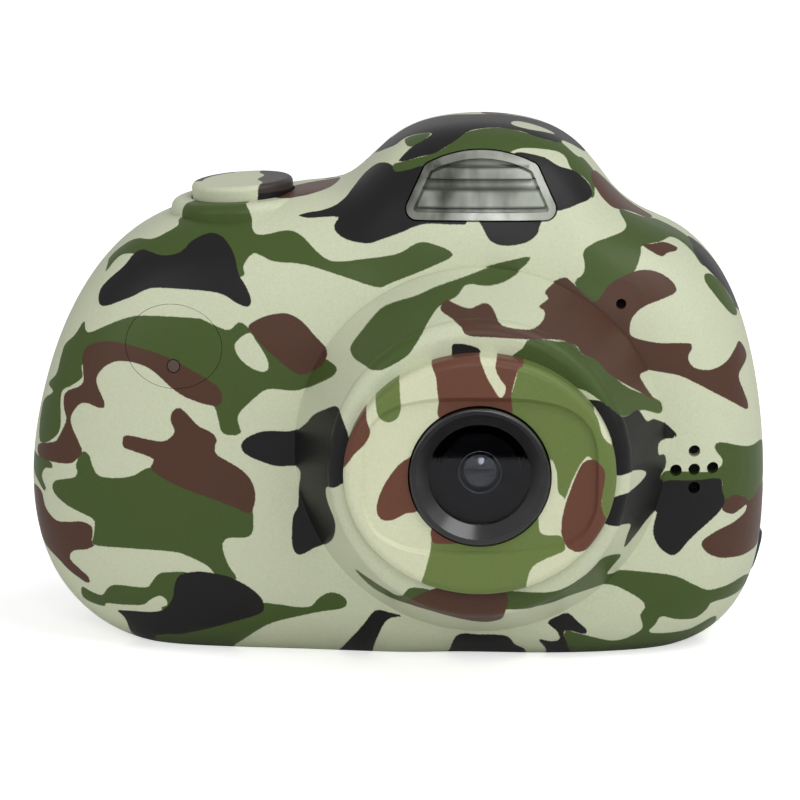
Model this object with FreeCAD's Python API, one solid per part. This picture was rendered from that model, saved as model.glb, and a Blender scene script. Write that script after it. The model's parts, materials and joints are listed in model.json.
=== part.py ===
"""Child's digital camera: pillow-shaped two-shell body, lens on a mound, sprung buttons, side port cover.

Millimetres. +Z is up, the lens looks along -Y, and the origin is at the middle of the base.
Every function makes one sub-part in its assembled place.
"""
import FreeCAD, Part
import os
from functools import lru_cache
from math import atan2, cos, pi, radians, sin, sqrt

V = FreeCAD.Vector

# ---- driving dimensions ------------------------------------------------------------------------------
WIDTH = 94.0            # across the widest point of the body
DEPTH = 48.0            # lens ring to rear buttons
NOSE_Y = -DEPTH / 2     # front of the lens ring
TAIL_Y = DEPTH / 2      # rear of the rear buttons
FACE_Y = -7.5           # front of the pillow at the height of the lens
RIM_Y = 7.0             # widest section, where the two shells part
BACK_Y = 23.2           # flat back
WALL = 2.0              # shell wall
LEAN = 0.05             # backward slope of the front face, per millimetre of height
FRONT_FULLNESS = 2.3    # superellipse power of the front's side profile
REAR_FULLNESS = 2.8     # superellipse power of the rear's side profile
REAR_TAPER = 0.13       # share by which the outline shrinks from rim to back
LENS_X = 10.7           # common axis of lens, flash and hump
LENS_Z = 27.4
FACE_R = 20.0           # round flat, hidden under the mound, into which the front closes
FIT = 0.2               # gap round a fitted or moving insert
LIP = 1.5               # depth of the locating lip between the shells

# half-turn through the rim outline, (x, z), anticlockwise from the middle of the base
OUTLINE = (
    (4, -1.5), (22, -1.7), (32, -1.1), (39.2, 1.0), (43.4, 4.7), (45.9, 10.0), (47.0, 18.0), (47.0, 25.0),
    (46.2, 33.0), (44.4, 41.0), (40.8, 48.6), (35.8, 53.1), (31.3, 55.2), (28.0, 57.8), (24.8, 61.9),
    (20.5, 65.5), (14.6, 67.2), (6.9, 67.2), (0.8, 65.4), (-3.5, 61.9), (-6.8, 59.3), (-11.0, 58.5),
    (-20.0, 57.0), (-27.5, 55.5), (-33.5, 52.8), (-38.9, 47.6), (-42.7, 41.0), (-45.5, 32.6), (-47.0, 23.0),
    (-46.8, 17.0), (-45.0, 10.2), (-40.9, 4.3), (-35.0, 0.5), (-26, -1.1), (-12, -1.5),
)
OUTLINE_STEPS = 64      # points carried round each section
BODY_CENTRE = (2.0, 30.0)
SECTION_ANGLES = (8, 17, 27, 38, 50, 63, 76, 90)

# mound that carries the lens
MOUND_R = 23.5          # where its cone leaves the face
MOUND_TOP_R = 18.2      # round its flat front
MOUND_Y = -19.8         # flat front of the mound
MOUND_EDGE_R = 2.0
BEZEL_R = 8.75

# shutter button, square to the sloping left shoulder
SHUTTER_X = -19.9
SHUTTER_Y = 9.5
SHUTTER_Z = 57.5        # top of its collar
SHUTTER_TILT = 4.0      # degrees, towards -X
SHUTTER_R = 6.5
SHUTTER_FLANGE_R = 7.5
COLLAR_R = 9.3
COLLAR_DEEP = 12.0
SHUTTER_TRAVEL = 0.6
SHUTTER_PROUD = 1.9     # cap above its collar
SHUTTER_STEM_Z = -5.0   # foot of the stem, below the collar
SHUTTER_BOARD_Z = (-9.6, -8.7)

# port recess and its cover, on the right-hand side
PORT_Y = (11.0, 18.6)
PORT_Z = (6.8, 30.8)
PORT_FLOOR_X = 38.5
COVER_THICK = 1.4
TAB_PROUD = 1.0
CARD_Z = (18.6, 29.6)
CARD_Y = (14.3, 15.0)
CARD_END_X = 39.5       # outer end of the memory card, at rest
CARD_LONG = 15.0
CARD_PUSH = 0.6
CARD_NOTCH = (6.0, 1.3)
USB_Z = (8.4, 16.2)
USB_Y = (13.6, 16.2)
USB_LONG = 6.5

# printed circuit board, clamped between the front and rear screw posts
BOARD_Y = (12.4, 13.6)
SCREW_PLACES = ((-31.0, 8.2), (29.2, 6.4), (LENS_X - 13.8, 50.0), (LENS_X + 13.8, 50.0))
POST_R = 2.9
SCREW_R = 1.0
SCREW_SEAT_Y = 17.6
SCREW_HEAD_R = 1.9
SCREW_TIP_Y = SCREW_SEAT_Y - 11.0

# lens stack
RING_HALF = (17.0, 15.1)
RING_PANEL_HALF = (14.4, 9.5)
RING_PANEL_Y = NOSE_Y + 1.1     # floor of the sunk panel
RING_WALL_LEAN = 1.3    # how much wider the panel is cut at its open end
WINDOW_R = 7.15
WINDOW_Y = (-21.7, -20.7)
BARREL_R = 4.0
EYE_R = 2.65
EYE_Y = -18.9           # floor of the barrel's eye
SENSOR_BOARD_Y = (-9.1, -8.1)
SENSOR_PEG = 8.6        # pegs stand this far from the axis each way
SENSOR_PEG_R = 1.3
FLEX_THICK = 0.15

# electronics
BATTERY_CENTRE = (-9.0, 29.0)
BATTERY_SIZE = (30.0, 34.0, 6.0)
BATTERY_EDGE_R = 2.0
BATTERY_PAD = 0.6
LCD_FRAME_Y = (17.6, 21.1)
LCD_SIZE = (49.8, 34.8)
LCD_TRAY = 0.8          # floor of the tray, behind the panel
INDICATOR_LED_Y = 11.2
FLASH_BOARD_Y = 3.0

# rear face
SCREEN_W = 48.0
SCREEN_H = 35.0
SCREEN_Z = 27.3
SCREEN_R = 4.0
WINDOW_THICK = 1.2
SELFIE_Z = 54.0
SELFIE_R = 4.6
SELFIE_BLOCK = 8.0
SELFIE_TURRET_R = 3.2
SELFIE_STEP_Y = 18.0
SELFIE_FRONT_Y = 21.6
PAD_X = -28.0           # middle of the direction keys
PAD_Z = 22.8
PAD_R = 10.2
PAD_INNER_R = 5.6
PAD_SPREAD = 39.0       # half the angle that each direction key covers
OK_R = 4.2
SMALL_KEY_R = 2.5
SMALL_KEY_Z = 38.8
SMALL_KEYS = {"power": -32.8, "mode": -26.3, "play": -19.8}
PAD_KEYS = {"right": 0, "up": 90, "left": 180, "down": 270}
KEY_SWITCH_R = 7.6      # direction keys press their switches this far from the middle
KEY_TRAVEL = 0.5
KEY_SWITCH_TOP_Y = 17.1
KEY_STEM_Y = 18.3       # where a key's stem meets its switch plunger
KEY_FLANGE_Y = (20.0, 21.1)
KEY_PLUNGER_R = 0.9
KEY_PLUNGER_LONG = 2.3
KEY_SWITCH_SIDE = 6.0

# front details, (x, z)
SPEAKER = (37.8, 24.9)
SPEAKER_HOLE_R = 0.75
SPEAKER_PITCH = 2.35
SPEAKER_R = 5.3
SPEAKER_Y = 0.0         # front of the loudspeaker
MICROPHONE = (28.4, 46.1)
MICROPHONE_HOLE_R = 0.65
INDICATOR = (-28.2, 40.2)
INDICATOR_HALF = (6.1, 5.2)
INDICATOR_PIN_DROP = 2.4
FLASH_FOOT = 10.2        # half width of the base before its corners are rounded
FLASH_BASE_Z = 56.6
FLASH_SHOULDER = (7.1, 6.45)    # half width and height above the base where the leaning sides meet the arch
FLASH_HEIGHT = 8.2
FLASH_CORNER_R = 1.3     # more than FLASH_BAR_INSET
FLASH_RIM = 0.9
FLASH_BAR_INSET = 1.25
FLASH_BARS = ((58.1, 60.2), (61.5, 62.8))     # low edge, high edge


# ---- drawing helpers ---------------------------------------------------------------------------------
def box(x, y, z):
    """Block between the two ends given along each axis."""
    return Part.makeBox(x[1] - x[0], y[1] - y[0], z[1] - z[0], V(x[0], y[0], z[0]))


def block(centre, width, height, y):
    """Block centred on (x, z), running between two Y values."""
    x, z = centre
    return box((x - width / 2, x + width / 2), y, (z - height / 2, z + height / 2))


def rod(centre, r, y):
    """Cylinder along Y on an (x, z) centre."""
    return Part.makeCylinder(r, y[1] - y[0], V(centre[0], y[0], centre[1]), V(0, 1, 0))


def tube(centre, outer, inner, y):
    return rod(centre, outer, y).cut(rod(centre, inner, y))


def prism(wire, y):
    """Sweeps a closed wire, drawn in an XZ plane at Y = 0, between two Y values."""
    solid = Part.Face(wire).extrude(V(0, y[1] - y[0], 0))
    solid.translate(V(0, y[0], 0))
    return solid


def ellipse_prism(centre, half, y):
    """Elliptical cylinder along Y."""
    major, minor = half
    curve = Part.Ellipse(V(centre[0] + major, 0, centre[1]), V(centre[0], 0, centre[1] + minor),
                         V(centre[0], 0, centre[1]))
    return prism(Part.Wire([curve.toShape()]), y)


def rounded_block(centre, width, height, r, y):
    """Block with its four edges along Y rounded."""
    solid = block(centre, width, height, y)
    return solid.makeFillet(r, edges_along(solid, V(0, 1, 0)))


def edges_along(shape, direction):
    """Straight edges that run along a direction."""
    found = []
    for edge in shape.Edges:
        if edge.Curve.TypeId == "Part::GeomLine":
            run = edge.Curve.Direction
            if abs(run.dot(direction)) > 0.999:
                found.append(edge)
    return found


def turned(centre, profile):
    """Turns a closed (radius, y) profile about the Y line through an (x, z) centre.

    A profile entry of three pairs is an arc's middle and end, and any other entry is a corner.
    """
    edges = []
    here = V(profile[0][0], profile[0][1], 0)
    for step in profile[1:] + [profile[0]]:
        if len(step) == 4:
            there = V(step[2], step[3], 0)
            edges.append(Part.Arc(here, V(step[0], step[1], 0), there).toShape())
        else:
            there = V(step[0], step[1], 0)
            edges.append(Part.LineSegment(here, there).toShape())
        here = there
    face = Part.Face(Part.Wire(edges))
    solid = face.revolve(V(0, 0, 0), V(0, 1, 0), 360)
    solid.translate(V(centre[0], 0, centre[1]))
    return solid


def join(shapes):
    """Fuses a list of solids into one."""
    return shapes[0].fuse(list(shapes[1:])).removeSplitter()


def on_shoulder(shape):
    """Carries a shape drawn about the shutter's own upright axis to its place on the left shoulder."""
    placed = shape.copy()
    placed.rotate(V(0, 0, 0), V(0, 1, 0), -SHUTTER_TILT)
    placed.translate(V(SHUTTER_X, SHUTTER_Y, SHUTTER_Z))
    return placed


def upright(r, z):
    """Cylinder on the shutter's own axis."""
    return Part.makeCylinder(r, z[1] - z[0], V(0, 0, z[0]))


# ---- the pillow-shaped body --------------------------------------------------------------------------
def outline_points(inset):
    """Points evenly along the rim outline, moved inwards by an inset."""
    curve = Part.BSplineCurve()
    curve.interpolate(Points=[V(x, 0, z) for x, z in OUTLINE], PeriodicFlag=True)
    span = curve.LastParameter - curve.FirstParameter
    points = []
    for i in range(OUTLINE_STEPS):
        u = curve.FirstParameter + span * i / OUTLINE_STEPS
        run = curve.tangent(u)[0]
        points.append(curve.value(u) + V(-run.z, 0, run.x) * inset)
    return points


def fullness(angle, power):
    """Share of the way in, and share of the depth, along a quarter superellipse."""
    a = radians(angle)
    return 1 - cos(a) ** (2 / power), sin(a) ** (2 / power)


def front_section(rim, angle, inset):
    """Closed curve in front of the rim: the outline drawn in towards the round flat."""
    share, depth = fullness(angle, FRONT_FULLNESS)
    points = []
    for p in rim:
        turn = atan2(p.z - LENS_Z, p.x - LENS_X)
        goal_x = LENS_X + FACE_R * cos(turn)
        goal_z = LENS_Z + FACE_R * sin(turn)
        goal_y = FACE_Y + inset + LEAN * (goal_z - LENS_Z)
        points.append(V(p.x + (goal_x - p.x) * share, RIM_Y + (goal_y - RIM_Y) * depth,
                        p.z + (goal_z - p.z) * share))
    return points


def rear_section(rim, angle, inset):
    """Closed curve behind the rim: the outline shrunk a little about the body's centre."""
    share, depth = fullness(angle, REAR_FULLNESS)
    cx, cz = BODY_CENTRE
    pull = REAR_TAPER * share
    y = RIM_Y + (BACK_Y - inset - RIM_Y) * depth
    return [V(p.x + (cx - p.x) * pull, y, p.z + (cz - p.z) * pull) for p in rim]


def closed_wire(points):
    """Smooth closed curve with evenly spaced knots, so that neighbouring sections share them."""
    knots = [float(i) for i in range(len(points) + 1)]
    curve = Part.BSplineCurve()
    curve.interpolate(Points=points, PeriodicFlag=True, Parameters=knots)
    return Part.Wire([curve.toShape()])


@lru_cache(maxsize=None)
def body(inset):
    """Solid pillow, smaller by an inset all round, with its base cut flat."""
    rim = outline_points(inset)
    sections = [front_section(rim, a, inset) for a in reversed(SECTION_ANGLES)]
    sections.append(rim_at_parting(rim))
    sections += [rear_section(rim, a, inset) for a in SECTION_ANGLES]
    solid = Part.makeLoft([closed_wire(s) for s in sections], True, False)
    reach = WIDTH
    under = box((-reach, reach), (-reach, reach), (-reach, max(inset, 0.0)))
    return solid.cut(under)


def rim_at_parting(rim):
    return [V(p.x, RIM_Y, p.z) for p in rim]


def mound(inset):
    """Cone that stands on the front face and carries the lens, with a rounded front edge."""
    slope = (MOUND_R - MOUND_TOP_R) / (FACE_Y - MOUND_Y)
    front = MOUND_Y + inset
    edge = MOUND_EDGE_R - inset / 2
    side_y = front + edge
    side_r = MOUND_TOP_R - inset + slope * edge
    root_y = RIM_Y - LIP - FIT
    root_r = side_r + slope * (FACE_Y - side_y)
    bulge = edge * (1 - sqrt(0.5))
    profile = [
        (0, front),
        (side_r - edge, front),
        (side_r - bulge, front + bulge, side_r, side_y),
        (root_r, FACE_Y),
        (root_r, root_y),
        (0, root_y),
    ]
    return turned((LENS_X, LENS_Z), profile)


BODY = body(0.0)
HOLLOW = body(WALL)


def collar():
    """Round turret that the shutter button stands in; its foot runs into the shoulder."""
    solid = upright(COLLAR_R, (-COLLAR_DEEP, 0.0))
    top = [e for e in solid.Edges if e.BoundBox.ZMin > -0.01]
    return on_shoulder(solid.makeFillet(1.2, top))


def shutter_opening():
    """Hole for the button's cap, and the wider room below it for the button's flange."""
    foot = SHUTTER_BOARD_Z[0] + 0.6
    cap_hole = upright(SHUTTER_R + FIT, (foot, SHUTTER_PROUD))
    flange_room = upright(SHUTTER_FLANGE_R + 0.3, (foot, -WALL))
    return on_shoulder(cap_hole.fuse(flange_room))


def half_space(front):
    """Everything in front of the parting plane, or everything behind it."""
    reach = WIDTH
    y = (-reach, RIM_Y) if front else (RIM_Y, reach)
    return box((-reach, reach), y, (-reach, reach))


def flash_wire(grow):
    """Outline of the flash: a level base, sides that lean inwards, a flat arch, and rounded corners."""
    def spot(x, z):
        return V(LENS_X + x, 0, FLASH_BASE_Z + z)

    wide, rise = FLASH_SHOULDER
    foot_left, foot_right = spot(-FLASH_FOOT, 0), spot(FLASH_FOOT, 0)
    left, right = spot(-wide, rise), spot(wide, rise)
    sharp = Part.Face(Part.Wire([
        Part.LineSegment(foot_left, foot_right).toShape(),
        Part.LineSegment(foot_right, right).toShape(),
        Part.Arc(right, spot(0, FLASH_HEIGHT), left).toShape(),
        Part.LineSegment(left, foot_left).toShape(),
    ]))
    return sharp.makeOffset2D(-FLASH_CORNER_R).makeOffset2D(FLASH_CORNER_R + grow).OuterWire


# ---- shells ------------------------------------------------------------------------------------------
def slab(y):
    """Slice of space between two Y values, larger than the body."""
    reach = WIDTH
    return box((-reach, reach), y, (-reach, reach))


def screw_post(place, y):
    """Solid post along Y, ending inside the wall it stands on."""
    return rod(place, POST_R, y).common(BODY)


def sensor_posts():
    """Four pegs inside the mound that the sensor board sits on."""
    pegs = []
    for sx in (-1, 1):
        for sz in (-1, 1):
            place = (LENS_X + sx * SENSOR_PEG, LENS_Z + sz * SENSOR_PEG)
            pegs.append(rod(place, SENSOR_PEG_R, (MOUND_Y + WALL / 2, SENSOR_BOARD_Y[0])))
    return pegs


def front_shell():
    """Front half of the body with the mound, the flash opening and the small round holes."""
    outer = BODY.fuse([mound(0.0), collar()])
    shell = outer.cut(HOLLOW.fuse(mound(WALL))).common(half_space(True))
    shell = shell.cut(slab((RIM_Y - LIP - FIT, RIM_Y)).common(body(WALL / 2)))
    bosses = sensor_posts()
    bosses += [screw_post(place, (FACE_Y, BOARD_Y[0])) for place in SCREW_PLACES]
    bosses.append(tube(SPEAKER, SPEAKER_R + 0.8, SPEAKER_R + FIT, (FACE_Y, 1.4)).common(BODY))
    bosses.append(tube(MICROPHONE, 2.9, 2.1, (FACE_Y, -WALL)).common(BODY))
    shell = shell.fuse(bosses)
    deep = (NOSE_Y, RIM_Y)
    holes = [
        shutter_opening(),
        rod((LENS_X, LENS_Z), BEZEL_R + FIT, deep),
        prism(flash_wire(FIT), deep),
        rod(MICROPHONE, MICROPHONE_HOLE_R, (NOSE_Y, -WALL)),
        ellipse_prism(INDICATOR, (INDICATOR_HALF[0] + 0.12, INDICATOR_HALF[1] + 0.12), deep).cut(body(1.3)),
        rod(indicator_pin_place(), 0.9, deep),
    ]
    holes += [rod(place, SPEAKER_HOLE_R, (NOSE_Y, 0)) for place in speaker_hole_places()]
    holes += [rod(place, SCREW_R + 0.05, (SCREW_TIP_Y - 0.6, BOARD_Y[0])) for place in SCREW_PLACES]
    return shell.cut(holes)


def speaker_hole_places():
    """A cross of five holes."""
    x, z = SPEAKER
    steps = ((0, 0), (1, 0), (-1, 0), (0, 1), (0, -1))
    return [(x + i * SPEAKER_PITCH, z + j * SPEAKER_PITCH) for i, j in steps]


def indicator_pin_place():
    return INDICATOR[0], INDICATOR[1] - INDICATOR_PIN_DROP


def port_block(gap, x):
    """Round-cornered block along X that fills the port recess, less a gap all round."""
    solid = box(x, (PORT_Y[0] + gap, PORT_Y[1] - gap), (PORT_Z[0] + gap, PORT_Z[1] - gap))
    return solid.makeFillet(1.8, edges_along(solid, V(1, 0, 0)))


def tether_block(gap):
    """Block at the top of the port recess where the cover's tether is anchored in the wall."""
    x = (PORT_FLOOR_X, WIDTH)
    return box(x, (12.8 + gap, 16.8 - gap), (PORT_Z[1] - 0.1 + gap, PORT_Z[1] + 2.6 - gap))


def port_cup():
    """Walls and floor of the port recess, inside the rear shell."""
    wall = 1.5
    cup = box((PORT_FLOOR_X - wall, WIDTH / 2), (PORT_Y[0] - wall, PORT_Y[1] + wall),
              (PORT_Z[0] - wall, PORT_Z[1] + wall))
    return cup.common(BODY)


def port_cuts():
    """The recess and the mouths of its two sockets."""
    through = (PORT_FLOOR_X - 2.0, PORT_FLOOR_X + 0.1)
    edge = 0.1
    usb = box(through, (USB_Y[0] - edge, USB_Y[1] + edge), (USB_Z[0] - edge, USB_Z[1] + edge))
    card = box(through, (CARD_Y[0] - FIT, CARD_Y[1] + FIT), (CARD_Z[0] - FIT, CARD_Z[1] + FIT))
    anchor = tether_block(0.0).cut(body(COVER_THICK))
    return [port_block(0.0, (PORT_FLOOR_X, WIDTH)), usb, card, anchor]


def shutter_shelf():
    """Shelf from the back wall that carries the shutter's switch board."""
    top = SHUTTER_BOARD_Z[0]
    shelf = box((-8.0, 8.0), (-4.5, BACK_Y - SHUTTER_Y), (top - 1.2, top))
    return on_shoulder(shelf).common(BODY)


def rear_shell():
    """Rear half of the body with the screen opening, key holes, port recess and screw posts."""
    shell = BODY.fuse(collar()).cut(HOLLOW).common(half_space(False))
    lip = slab((RIM_Y - LIP, RIM_Y)).common(body(WALL / 2 + 0.1)).cut(HOLLOW)
    additions = [lip, port_cup(), shutter_shelf()]
    additions += [screw_post(place, (BOARD_Y[1], BACK_Y)) for place in SCREW_PLACES]
    shell = shell.fuse(additions)
    out = (BACK_Y - WALL - 0.5, TAIL_Y)
    recess = (BACK_Y - WINDOW_THICK, TAIL_Y)
    middle = (LENS_X, SCREEN_Z)
    holes = port_cuts()
    holes.append(shutter_opening())
    holes.append(rounded_block(middle, SCREEN_W + FIT, SCREEN_H + FIT, SCREEN_R, recess))
    holes.append(rounded_block(middle, SCREEN_W - 3.0, SCREEN_H - 3.0, SCREEN_R / 2, out))
    holes.append(rod((LENS_X, SELFIE_Z), SELFIE_R + FIT / 2, recess))
    holes.append(rod((LENS_X, SELFIE_Z), SELFIE_R - 1.1, out))
    holes += [small_key_cap(name, FIT, out) for name in SMALL_KEYS]
    holes += [pad_key_cap(name, FIT, out) for name in PAD_KEYS]
    holes.append(rod((PAD_X, PAD_Z), OK_R + FIT, out))
    for place in SCREW_PLACES:
        holes.append(rod(place, SCREW_R + FIT, (BOARD_Y[1], SCREW_SEAT_Y)))
        holes.append(rod(place, SCREW_HEAD_R + FIT, (SCREW_SEAT_Y, TAIL_Y)))
    return shell.cut(holes)


# ---- lens ---------------------------------------------------------------------------------------------
def squircle(half_w, half_h, power):
    """Closed superellipse wire about the lens axis."""
    steps = 32
    points = []
    for i in range(steps):
        a = 2 * pi * (i + 0.5) / steps
        x = half_w * abs(cos(a)) ** (2 / power) * (1 if cos(a) > 0 else -1)
        z = half_h * abs(sin(a)) ** (2 / power) * (1 if sin(a) > 0 else -1)
        points.append(V(LENS_X + x, 0, LENS_Z + z))
    return closed_wire(points)


def lens_ring():
    """Oval ring with a gently domed front and a sunk, television-shaped panel with leaning walls."""
    dome_r = 180.0
    plate = ellipse_prism((LENS_X, LENS_Z), RING_HALF, (NOSE_Y, MOUND_Y))
    dome = Part.makeSphere(dome_r, V(LENS_X, NOSE_Y + dome_r, LENS_Z))
    plate = plate.common(dome)
    front = min(plate.Edges, key=lambda e: e.CenterOfMass.y)
    plate = plate.makeFillet(1.1, [front])
    panel = []
    for grow, y in ((0, RING_PANEL_Y), (RING_WALL_LEAN, NOSE_Y - 0.5)):
        outline = squircle(RING_PANEL_HALF[0] + grow, RING_PANEL_HALF[1] + grow, 3.4)
        outline.translate(V(0, y, 0))
        panel.append(outline)
    bore = rod((LENS_X, LENS_Z), BEZEL_R + FIT, (NOSE_Y - 1, MOUND_Y + 1))
    return plate.cut([Part.makeLoft(panel, True, True), bore])


def lens_bezel():
    """Black ring with an inward cone at the front and a flange behind the mound's wall."""
    front = NOSE_Y + 0.45
    seat = WINDOW_Y[0]
    flange = (MOUND_Y + WALL, MOUND_Y + WALL + 1.2)
    profile = [
        (BEZEL_R, flange[0]),
        (BEZEL_R, front + 0.35),
        (BEZEL_R - 0.1, front + 0.1, BEZEL_R - 0.35, front),
        (BEZEL_R - 0.8, front),
        (WINDOW_R - 0.75, seat - 0.35),
        (WINDOW_R - 0.75, seat),
        (WINDOW_R + 0.1, seat),
        (WINDOW_R + 0.1, flange[1]),
        (10.6, flange[1]),
        (10.6, flange[0]),
    ]
    return turned((LENS_X, LENS_Z), profile)


def lens_window():
    return rod((LENS_X, LENS_Z), WINDOW_R, WINDOW_Y)


def lens_barrel():
    """Stepped threaded barrel with a sunk eye at the front."""
    front = WINDOW_Y[1] + 0.5
    profile = [(5.0, front), (5.0, -17.0), (BARREL_R, -17.0), (BARREL_R, -10.4), (1.9, -10.4),
               (1.9, EYE_Y), (EYE_R, EYE_Y), (EYE_R, front)]
    return turned((LENS_X, LENS_Z), profile)


def front_lens_element():
    """Domed glass in the barrel's eye."""
    top = EYE_Y - 1.2
    edge = EYE_R - 0.1
    profile = [(0, top), (edge / 2, top + 0.18, edge, top + 0.7), (edge, EYE_Y), (0, EYE_Y)]
    return turned((LENS_X, LENS_Z), profile)


def lens_holder():
    """Square foot and round collar that carry the barrel over the sensor."""
    centre = (LENS_X, LENS_Z)
    foot_y = (-12.0, SENSOR_BOARD_Y[0])
    foot = rounded_block(centre, 12.0, 12.0, 1.0, foot_y)
    collar_tube = rod(centre, 5.6, (-16.4, -12.0))
    room = block(centre, 9.0, 9.0, (-11.0, SENSOR_BOARD_Y[0]))
    return join([foot, collar_tube]).cut([rod(centre, BARREL_R + 0.1, (-16.4, -10.0)), room])


def image_sensor():
    return block((LENS_X, LENS_Z), 6.0, 5.0, (SENSOR_BOARD_Y[0] - 0.8, SENSOR_BOARD_Y[0]))


def sensor_board():
    return rounded_block((LENS_X, LENS_Z), 20.4, 20.4, 1.0, SENSOR_BOARD_Y)


def ribbon(points, thick, centre_x, width):
    """Flat flexible lead, folded square, through (y, z) points."""
    h = thick / 2
    x = (centre_x - width / 2, centre_x + width / 2)
    runs = []
    for a, b in zip(points, points[1:]):
        y = (min(a[0], b[0]) - h, max(a[0], b[0]) + h)
        z = (min(a[1], b[1]) - h, max(a[1], b[1]) + h)
        runs.append(box(x, y, z))
    return join(runs)


def sensor_flex():
    """Lead from the back of the sensor board to the front of the main board."""
    h = FLEX_THICK / 2
    near, far = SENSOR_BOARD_Y[1] + h, BOARD_Y[0] - h
    return ribbon([(near, 24.5), (near, 19.5), (far, 19.5), (far, 13.5)], FLEX_THICK, LENS_X, 7.0)


def lcd_flex():
    """Lead from the screen's back to the rear of the main board."""
    h = FLEX_THICK / 2
    near, far = LCD_FRAME_Y[0] - h, BOARD_Y[1] + h
    return ribbon([(near, 20.0), (near, 12.4), (far, 12.4), (far, 17.0)], FLEX_THICK, LENS_X, 14.0)


# ---- flash, indicator, sound -------------------------------------------------------------------------
def flash_lens():
    """Clear arched cover, flush with the hump, with a raised rim and two raised prism bars."""
    deep = (NOSE_Y, RIM_Y)
    inner = prism(flash_wire(-FLASH_BAR_INSET), deep)
    bars = []
    for low, high in FLASH_BARS:
        bars.append(box((LENS_X - FLASH_FOOT, LENS_X + FLASH_FOOT), deep, (low, high)).common(inner))
    rim = prism(flash_wire(0.0), deep).cut(prism(flash_wire(-FLASH_RIM), deep))
    raised = rim.fuse(bars).common(body(0.1)).cut(body(0.8))
    pane = prism(flash_wire(0.0), deep).common(body(0.7)).cut(HOLLOW)
    return raised.common(prism(flash_wire(0.0), deep)).fuse(pane)


def flash_reflector():
    """Tray behind the flash cover with a window for the lamp in its floor."""
    tray = prism(flash_wire(0.9), (NOSE_Y, FLASH_BOARD_Y)).common(body(WALL + 0.05))
    room = prism(flash_wire(-0.6), (NOSE_Y, FLASH_BOARD_Y - 0.8))
    window = block(flash_lamp_place(), 4.0, 3.3, (NOSE_Y, FLASH_BOARD_Y))
    return tray.cut([room, window])


def flash_lamp_place():
    return LENS_X, FLASH_BASE_Z + 3.7


def flash_lamp():
    return block(flash_lamp_place(), 3.5, 2.8, (FLASH_BOARD_Y - 0.7, FLASH_BOARD_Y))


def flash_board():
    return block(flash_lamp_place(), 14.0, 6.0, (FLASH_BOARD_Y, FLASH_BOARD_Y + 1.0))


def indicator_disc():
    """Flush oval disc in the front shell."""
    disc = ellipse_prism(INDICATOR, INDICATOR_HALF, (NOSE_Y, RIM_Y)).common(BODY).cut(body(1.25))
    return disc.cut(rod(indicator_pin_place(), 0.85, (NOSE_Y, RIM_Y)))


def indicator_light_pipe():
    return rod(indicator_pin_place(), 0.75, (NOSE_Y, INDICATOR_LED_Y)).common(body(-0.15))


def indicator_led():
    return block(indicator_pin_place(), 3.0, 3.0, (INDICATOR_LED_Y, BOARD_Y[0]))


def microphone():
    return rod(MICROPHONE, 2.0, (FACE_Y, -1.4)).common(body(WALL + 0.05))


def speaker():
    """Round loudspeaker with a smaller magnet behind it."""
    step_y = SPEAKER_Y + 2.2
    magnet = rod(SPEAKER, SPEAKER_R - 1.8, (step_y, step_y + 1.8))
    return join([rod(SPEAKER, SPEAKER_R, (SPEAKER_Y, step_y)), magnet])


def speaker_gasket():
    """Foam ring between the loudspeaker and the front wall."""
    return tube(SPEAKER, SPEAKER_R, SPEAKER_R - 1.4, (FACE_Y, SPEAKER_Y)).common(body(WALL + 0.05))


# ---- shutter -----------------------------------------------------------------------------------------
def shutter_button():
    """Round cap, flange under the collar, and stem down to the switch."""
    cap = upright(SHUTTER_R, (-2.3, SHUTTER_PROUD))
    rim = [e for e in cap.Edges if e.BoundBox.ZMin > SHUTTER_PROUD - 0.01]
    cap = cap.makeFillet(0.7, rim)
    flange = upright(SHUTTER_FLANGE_R, (-3.3, -WALL - 0.1))
    stem = upright(2.0, (SHUTTER_STEM_Z, -3.3))
    return on_shoulder(join([cap, flange, stem]))


def shutter_plunger():
    return on_shoulder(upright(1.1, (SHUTTER_STEM_Z - 2.0, SHUTTER_STEM_Z)))


def shutter_switch():
    """Square push switch with a hole for its plunger."""
    top = SHUTTER_STEM_Z - SHUTTER_TRAVEL - 0.2
    case = box((-3.0, 3.0), (-3.0, 3.0), (SHUTTER_BOARD_Z[1], top))
    return on_shoulder(case.cut(upright(1.25, (SHUTTER_STEM_Z - 2.0 - SHUTTER_TRAVEL - 0.1, top))))


def shutter_board():
    return on_shoulder(box((-7.0, 7.0), (-4.5, 4.5), SHUTTER_BOARD_Z))


# ---- electronics -------------------------------------------------------------------------------------
def main_board():
    """Board shaped to the body, clamped between the screw posts."""
    left = -40.0
    areas = [
        box((left, PORT_FLOOR_X - 2.1), BOARD_Y, (0, 45.5)),
        box((-8.0, 30.0), BOARD_Y, (45.0, 52.5)),
        box((LENS_X - 7.5, LENS_X + 7.5), BOARD_Y, (52.0, 58.5)),
    ]
    board = join(areas).common(body(WALL + 0.8))
    return board.cut([rod(place, SCREW_R + FIT, BOARD_Y) for place in SCREW_PLACES])


def battery():
    """Flat foil cell, held to the board by its pad."""
    back = BOARD_Y[0] - BATTERY_PAD
    width, height, thick = BATTERY_SIZE
    return rounded_block(BATTERY_CENTRE, width, height, BATTERY_EDGE_R, (back - thick, back))


def battery_pad():
    """Foam pad, smaller than the cell all round."""
    width, height, _ = BATTERY_SIZE
    return block(BATTERY_CENTRE, width - 10.0, height - 8.0, (BOARD_Y[0] - BATTERY_PAD, BOARD_Y[0]))


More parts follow.
